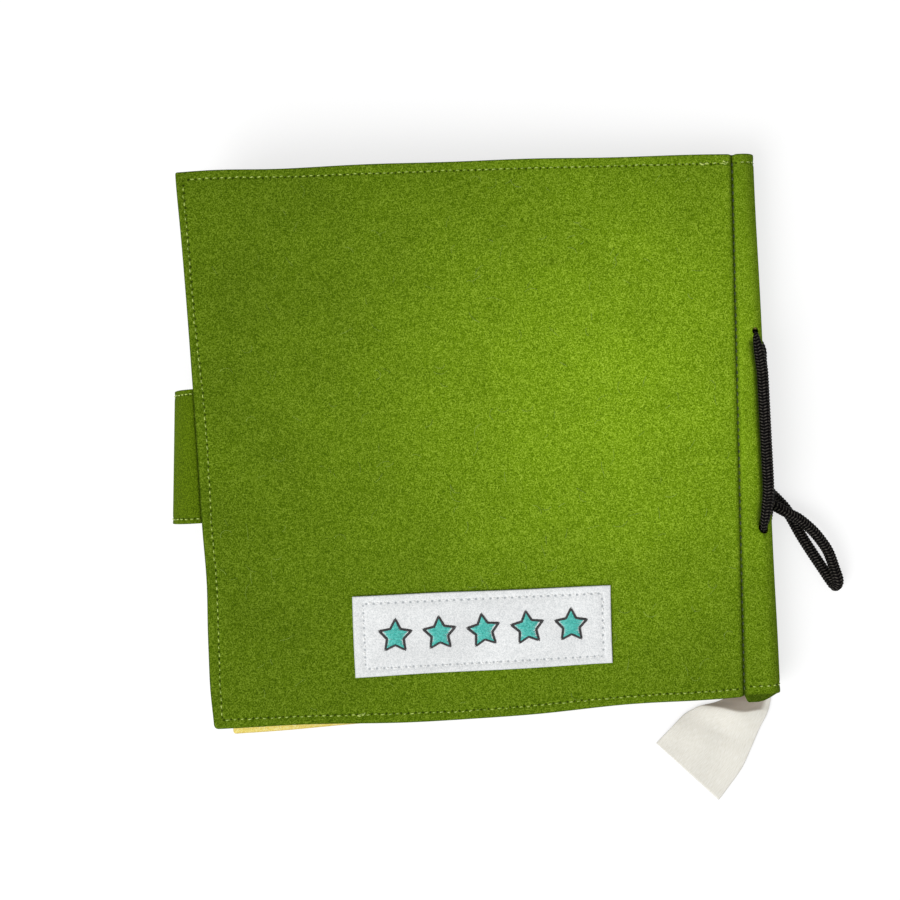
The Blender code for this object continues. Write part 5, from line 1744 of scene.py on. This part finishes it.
def make_pocket():
    """The teal pocket inside the back cover, sewn on three sides and open towards the head."""
    rng = random.Random(61)
    fore = -COVER_REACH
    corners = turned_corners(fore + POCKET_FROM_FORE_EDGE, fore + POCKET_FROM_FORE_EDGE + POCKET_WIDTH,
                             POCKET_FROM_FOOT - HALF_HEIGHT,
                             POCKET_FROM_FOOT - HALF_HEIGHT + POCKET_HEIGHT)
    face = -AXIS_LIFT - COVER_THICKNESS - SEAT
    insets = (3.0, 3.0, 3.0, 4.0)
    place = BACK_LINING.place
    felt = patch_felt("lining_pocket_felt", place, face, face - POCKET_THICKNESS, corners, TEAL_FELT,
                      insets, 0.004)
    seam = sew("lining_pocket_stitching",
               patch_seams(place, face - POCKET_THICKNESS + 0.3 * MM, corners, insets, -1, rng),
               TEAL_THREAD, 5, 5)
    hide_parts("lining_pocket")
    for piece in (felt, seam):
        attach(piece, "back_cover")


def make_pictures():
    """The shapes inside the front cover and a felt picture on each of three leaves."""
    rng = random.Random(62)
    face = AXIS_LIFT + COVER_THICKNESS + SEAT
    shapes = (("circle", circle_points(SHAPE_SIZE / 2), *RED),
              ("square", corner_points(4, SHAPE_SIZE), *BLUE),
              ("triangle", corner_points(3, SHAPE_SIZE), *ORANGE))
    for row, (kind, outline, cloth, thread, slot) in zip((1, 0, -1), shapes):
        stitched_shape(f"{kind}_felt_shape", f"shape_{kind}", "front_cover", slot, FRONT_LINING.place,
                       hinge_to_page(-PICTURE_FROM_HINGE, row * SHAPE_PITCH), outline, face,
                       face + PICTURE_THICKNESS, cloth, thread, rng)
    low = LEAF_THICKNESS / 2 + SEAT
    high = low + PICTURE_THICKNESS
    middle = hinge_to_page(-PICTURE_FROM_HINGE, 0)
    pictures = (("flower", petal_points(6, 0.14), WHITE_FELT, WHITE_THREAD, "white_felt"),
                ("star", petal_points(5, 0.26, True), *YELLOW),
                ("sun", petal_points(12, 0.10), *YELLOW))
    for index, (kind, outline, cloth, thread, slot) in enumerate(pictures):
        body = f"leaf_{index + 1}"
        place = leaf_plies(index)[1].place
        placed = stitched_shape(f"{body}_{kind}_felt", f"{body}_{kind}", body, slot, place, middle,
                                outline, low, high, cloth, thread, rng)
        # Each picture has a satin-stitched middle in the colour of its leaf
        disc = [np.array(p) for p in circle_points(8 * MM, 40)]
        _, other_thread, other_slot = LEAF_COLOURS[(index + 2) % LEAF_COUNT]
        fill = lay_threads(f"{body}_{kind}_middle",
                           satin_fill(placed, high, disc, 0.4, rng)
                           + satin_border(placed, high + 0.1 * MM, disc, 1.4, 0.35, rng),
                           other_thread)
        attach(fill, body)


def make_clock():
    """The dial with its twelve embroidered hour marks, the two hands and the snap they turn on."""
    rng = random.Random(63)
    ply = leaf_plies(LEAF_COUNT - 1)[1]
    middle = hinge_to_page(-CLOCK_FROM_HINGE, CLOCK_Y)
    flat_top = LEAF_THICKNESS / 2
    hole = SNAP_PIN_RADIUS + SNAP_CLEAR

    def flat_place(x, y, z):
        """The page's axes without the felt's waves, so that the hands turn clear of the dial."""
        local = np.stack(np.broadcast_arrays(x, y, z), -1)
        return local @ np.array(ply.axes.to_3x3()).T + np.array(ply.axes.translation)

    level = flat_top + SEAT
    placed = stitched_shape("clock_dial_felt", "clock_dial", "leaf_4", "white_felt", flat_place, middle,
                            circle_points(DIAL_RADIUS), level, level + DIAL_THICKNESS, WHITE_FELT,
                            WHITE_THREAD, rng, hole=hole)
    marks = []
    for k in range(12):
        turn = math.pi / 6 * k
        out = np.array((math.sin(turn), math.cos(turn)))
        aside = np.array((out[1], -out[0]))
        length, half = ((7.0, 1.3) if k % 3 == 0 else (4.0, 0.9))
        start = out * (DIAL_RADIUS - 6 * MM - length * MM)
        count = int(length / 0.35)
        for i in range(count):
            spot = start + out * length * MM * (i + 0.5) / count
            spot_place = placed(spot[0], spot[1], level + DIAL_THICKNESS)
            ahead = placed(*(spot + aside * MM), level + DIAL_THICKNESS) - spot_place
            marks.append((spot_place, ahead, (0, 0, 1), 2 * half / STITCH_LENGTH_MM))
    ticks = lay_threads("clock_hour_marks", marks, BLACK_THREAD)
    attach(ticks, "leaf_4")
    level += DIAL_THICKNESS + SEAT
    for word, length, turn, cloth, thread, slot in (
            ("hour", HOUR_HAND_LENGTH, HOUR_HAND_TURN, *RED),
            ("minute", MINUTE_HAND_LENGTH, MINUTE_HAND_TURN, *BLUE)):
        stitched_shape(f"clock_{word}_hand_felt", f"clock_{word}_hand", f"{word}_hand", slot, flat_place,
                       middle, hand_points(length), level, level + HAND_THICKNESS, cloth, thread, rng,
                       turn=turn, hole=hole, inset_mm=1.0, sunk_mm=0.24)
        level += HAND_THICKNESS + SEAT
    # A moulded snap: a domed head with a shallow ring, on the pin that the hands turn on
    head = SNAP_HEAD_RADIUS
    rise = SNAP_HEAD_THICKNESS
    profile = [(0.0, flat_top + SEAT), (SNAP_PIN_RADIUS, flat_top + SEAT), (SNAP_PIN_RADIUS, level),
               (head * 0.96, level), (head, level + rise * 0.15), (head, level + rise * 0.4),
               (head * 0.93, level + rise * 0.7), (head * 0.8, level + rise * 0.85),
               (head * 0.62, level + rise * 0.8), (head * 0.5, level + rise * 0.9),
               (head * 0.3, level + rise), (0.0, level + rise)]
    turns = np.arange(48) * 2 * math.pi / 48
    spots = [flat_place(middle[0], middle[1], profile[0][1])]
    for radius, height in profile[1:-1]:
        for t in turns:
            spots.append(flat_place(middle[0] + radius * math.cos(t), middle[1] + radius * math.sin(t),
                                    height))
    spots.append(flat_place(middle[0], middle[1], profile[-1][1]))
    faces = [(0, 1 + (k + 1) % 48, 1 + k) for k in range(48)]
    rings = len(profile) - 2
    for ring in range(rings - 1):
        for k in range(48):
            a, b = 1 + ring * 48 + k, 1 + ring * 48 + (k + 1) % 48
            faces.append((a, b, b + 48, a + 48))
    last = len(spots) - 1
    faces += [(last, last - 48 + k, last - 48 + (k + 1) % 48) for k in range(48)]
    snap = new_piece("clock_plastic_snap", spots, faces, SNAP_PLASTIC)
    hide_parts("clock_snap")
    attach(snap, "leaf_4")


# Care label


LABEL_LEFT = ((-0.0095, -0.1184), (-0.0162, -0.1207), (-0.0231, -0.1219), (-0.0269, -0.1235),
              (-0.0309, -0.1257), (-0.0369, -0.1313), (-0.0432, -0.1375))
LABEL_RIGHT = ((0.0079, -0.1185), (0.0077, -0.1212), (0.0057, -0.1269), (0.0020, -0.1335),
               (-0.0027, -0.1433), (-0.0069, -0.1511), (-0.0150, -0.1612), (-0.0172, -0.1636))
LABEL_SEAM = ((-0.0050, -0.1127), (0.0062, -0.1127))
LABEL_SEAM_LEVEL = COVER_PLY + 0.00002
LABEL_THICKNESS = 0.00025
LABEL_WIDTH = 0.0377
LABEL_RIDGE_MM = 3.4
LABEL_ROWS = 90
# The fold lies at one row of the mesh, and at these shares of the label's two sides
LABEL_FOLD_ROW = 0.27
LABEL_FOLD_SHARES = (0.355, 0.13)


def make_label():
    """The care label: out of the seam, over a fold, and down along the table in soft waves."""
    left, _ = smooth_line([(x, y, 0) for x, y in LABEL_LEFT], 0.3 * MM)
    right, _ = smooth_line([(x, y, 0) for x, y in LABEL_RIGHT], 0.3 * MM)

    def along(line, fold, t):
        """The place on a side at a row: the fold is at the same row on both sides."""
        share = np.where(t < LABEL_FOLD_ROW, t / LABEL_FOLD_ROW * fold,
                         fold + (t - LABEL_FOLD_ROW) / (1 - LABEL_FOLD_ROW) * (1 - fold))
        at = share * (len(line) - 1)
        return np.stack([np.interp(at, np.arange(len(line)), line[:, k]) for k in (0, 1)], -1)

    t = np.concatenate([np.linspace(0, LABEL_FOLD_ROW, 26)[:-1],
                        np.linspace(LABEL_FOLD_ROW, 1, LABEL_ROWS - 25)])
    u = np.linspace(0, 1, 61)
    a, b = (along(line, fold, t) for line, fold in zip((left, right), LABEL_FOLD_SHARES))
    flat = a[:, None] + (b - a)[:, None] * u[None, :, None]
    tt, uu = np.meshgrid(t, u, indexing="ij")
    near = np.exp(-((tt - LABEL_FOLD_ROW) / 0.16) ** 2)
    sag = 1.6 * MM * np.exp(-((uu - 0.58) / 0.24) ** 2) * near * np.clip(tt / LABEL_FOLD_ROW, 0, 1)
    flat[..., 1] -= sag
    ridge = LABEL_RIDGE_MM * MM * np.exp(-((uu - 0.62) / 0.42) ** 2)
    before = np.clip(tt / LABEL_FOLD_ROW, 0, 1)
    after = np.clip((tt - LABEL_FOLD_ROW) / 0.3, 0, 1)
    rise = np.where(tt < LABEL_FOLD_ROW, 0.25 + 0.75 * before**1.6, 1 - smooth(after))
    wave = (0.55 * np.sin(uu * 5.2 + tt * 2.6) * np.sin(math.pi * np.clip(tt * 1.1, 0, 1))
            + 0.22 * np.sin(uu * 13 - tt * 6) * tt + 0.35 * np.sin(tt * 11 + uu * 2)) * MM
    z = 0.0002 + ridge * rise + np.clip(wave + 0.45 * MM, 0, None) * np.clip(tt * 3, 0, 1) * 0.9
    # Painted shade on the folded root, strongest next to the seam
    shade = np.clip((LABEL_FOLD_ROW - tt) / 0.03, 0, 1) * np.clip((0.93 - uu) / 0.08, 0, 1)
    shade = shade * (0.72 + 0.28 * np.clip(1 - tt / 0.12, 0, 1))
    # Its root runs into the seam between the spine felt and the front lining
    shares = np.linspace(0, 1, 9)[:-1, None]
    sewn, ended = np.array(LABEL_SEAM)
    sewn = sewn + (ended - sewn) * u[:, None]
    flat = np.concatenate([sewn + (flat[0] - sewn) * shares[..., None], flat])
    z = np.concatenate([LABEL_SEAM_LEVEL + (z[0] - LABEL_SEAM_LEVEL) * shares**3, z])
    shade = np.concatenate([np.ones((8, len(u))), shade])
    tt = np.concatenate([np.repeat(-0.07 * (1 - shares), len(u), 1), tt])
    uu = np.concatenate([uu[:8], uu])
    top = np.concatenate([flat, (z + LABEL_THICKNESS)[..., None]], -1)
    bottom = np.concatenate([flat, z[..., None]], -1)
    page = np.stack([uu * LABEL_WIDTH, tt * 0.055, shade], -1)
    label = closed_slab("satin_care_label", top, bottom, SATIN, page)
    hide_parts("care_label")
    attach(label, "binding")


# Loose fibres

FIBRE_COUNT = 190
def make_fibres():
    """Single fibres that work loose from needle felt and lie curled on the back cover."""
    rng = random.Random(71)
    verts, faces = [], []
    for _ in range(FIBRE_COUNT):
        x = rng.uniform(-COVER_REACH + 5 * MM, -4 * MM)
        y = rng.uniform(-HALF_HEIGHT + 5 * MM, HALF_HEIGHT - 5 * MM)
        heading = rng.uniform(0, 2 * math.pi)
        bend = rng.uniform(-520, 520)
        length = rng.uniform(2.5, 8.0) * MM
        radius = rng.uniform(0.05, 0.085) * MM
        steps = 9
        base = len(verts)
        for i in range(steps):
            share = i / (steps - 1)
            lift = 0.05 * MM + 0.22 * MM * math.sin(math.pi * share)
            spot = BACK_FELT.place(np.array(x), np.array(y), np.array(-AXIS_LIFT + lift))
            side = np.array((-math.sin(heading), math.cos(heading), 0)) * radius
            verts += [spot + side, spot - side * 0.6 + (0, 0, radius), spot - side - (0, 0, radius)]
            heading += bend * length / steps
            x += math.cos(heading) * length / steps
            y += math.sin(heading) * length / steps
        for i in range(steps - 1):
            for k in range(3):
                j = (k + 1) % 3
                a, b = base + 3 * i + k, base + 3 * i + j
                faces.append((a, b, b + 3, a + 3))
        faces += [(base, base + 2, base + 1),
                  (base + 3 * steps - 3, base + 3 * steps - 2, base + 3 * steps - 1)]
    fibres = new_piece("loose_felt_fibres", verts, faces, LOOSE_FIBRE)
    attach(fibres, "back_cover")


# Table, light and camera

TABLE_GLOW = 0.70
TABLE_LEVEL = -0.0004
CAMERA_PLACE = (-0.1270, -0.0044, 0.700)
CAMERA_TURN = math.radians(-2.94)
CAMERA_LENS_MM = 63.77
LAMP_POWER = 34
LAMP_SIZE = 1.4
LAMP_PLACE = (-1.10, -0.85, 1.70)
LAMP_AIM = (-0.11, 0, 0)
def seen_strength(tree, strength, base=0.0):
    """The strength for rays that the eye or a shiny surface sends, and the base for all others."""
    rays = add_node(tree, "ShaderNodeLightPath").outputs
    shiny = add_node(tree, "ShaderNodeMath", {0: rays["Is Glossy Ray"], 1: rays["Is Transmission Ray"]},
                     operation="MAXIMUM")
    seen = add_node(tree, "ShaderNodeMath", {0: shiny.outputs[0], 1: rays["Is Camera Ray"]},
                    operation="MAXIMUM")
    return add_node(tree, "ShaderNodeMapRange",
                    {"Value": seen.outputs[0], "To Min": base, "To Max": strength}).outputs[0]


def table_material():
    """A white laminate table top; the camera sees it paler than it is, with the book's shadow."""
    made = bpy.data.materials.new("white_table_top")
    made.use_nodes = True
    tree = made.node_tree
    shader = tree.nodes["Principled BSDF"]
    shader.inputs["Base Color"].default_value = linear("#A2A2A2")
    shader.inputs["Roughness"].default_value = 0.9
    shader.inputs["Specular IOR Level"].default_value = 0.1
    shader.inputs["Emission Color"].default_value = (1, 1, 1, 1)
    tree.links.new(seen_strength(tree, TABLE_GLOW), shader.inputs["Emission Strength"])
    return made


def make_stage():
    """The camera straight over the book, a white table and soft studio light from its foot."""
    view = bpy.data.objects.new("camera", bpy.data.cameras.new("camera"))
    bpy.context.scene.collection.objects.link(view)
    view.location = CAMERA_PLACE
    view.rotation_euler = (0, 0, CAMERA_TURN)
    view.data.lens = CAMERA_LENS_MM
    view.data.sensor_width = 36
    bpy.context.scene.camera = view
    corners = [(x, y, TABLE_LEVEL) for x, y in ((-3, -3), (3, -3), (3, 3), (-3, 3))]
    floor = new_piece("table_top", corners, [(0, 1, 2, 3)], table_material(), smooth_shaded=False)
    lamp = bpy.data.lights.new("window_light", "AREA")
    lamp.energy = LAMP_POWER
    lamp.shape = "SQUARE"
    lamp.size = LAMP_SIZE
    held = bpy.data.objects.new("window_light", lamp)
    bpy.context.scene.collection.objects.link(held)
    held.location = LAMP_PLACE
    held.rotation_euler = (Vector(LAMP_AIM) - Vector(LAMP_PLACE)).to_track_quat("-Z", "Y").to_euler()
    world = bpy.data.worlds.new("studio")
    bpy.context.scene.world = world
    world.use_nodes = True
    sky = world.node_tree.nodes["Background"]
    sky.inputs["Color"].default_value = (1, 1, 1, 1)
    world.node_tree.links.new(seen_strength(world.node_tree, 1.0, 0.47), sky.inputs["Strength"])
    bpy.context.scene.view_settings.view_transform = "Standard"


make_stage()
make_cord()
make_spine()
make_covers()
make_leaves()
make_strap()
make_name_patch()
make_pocket()
make_pictures()
make_clock()
make_label()
make_fibres()
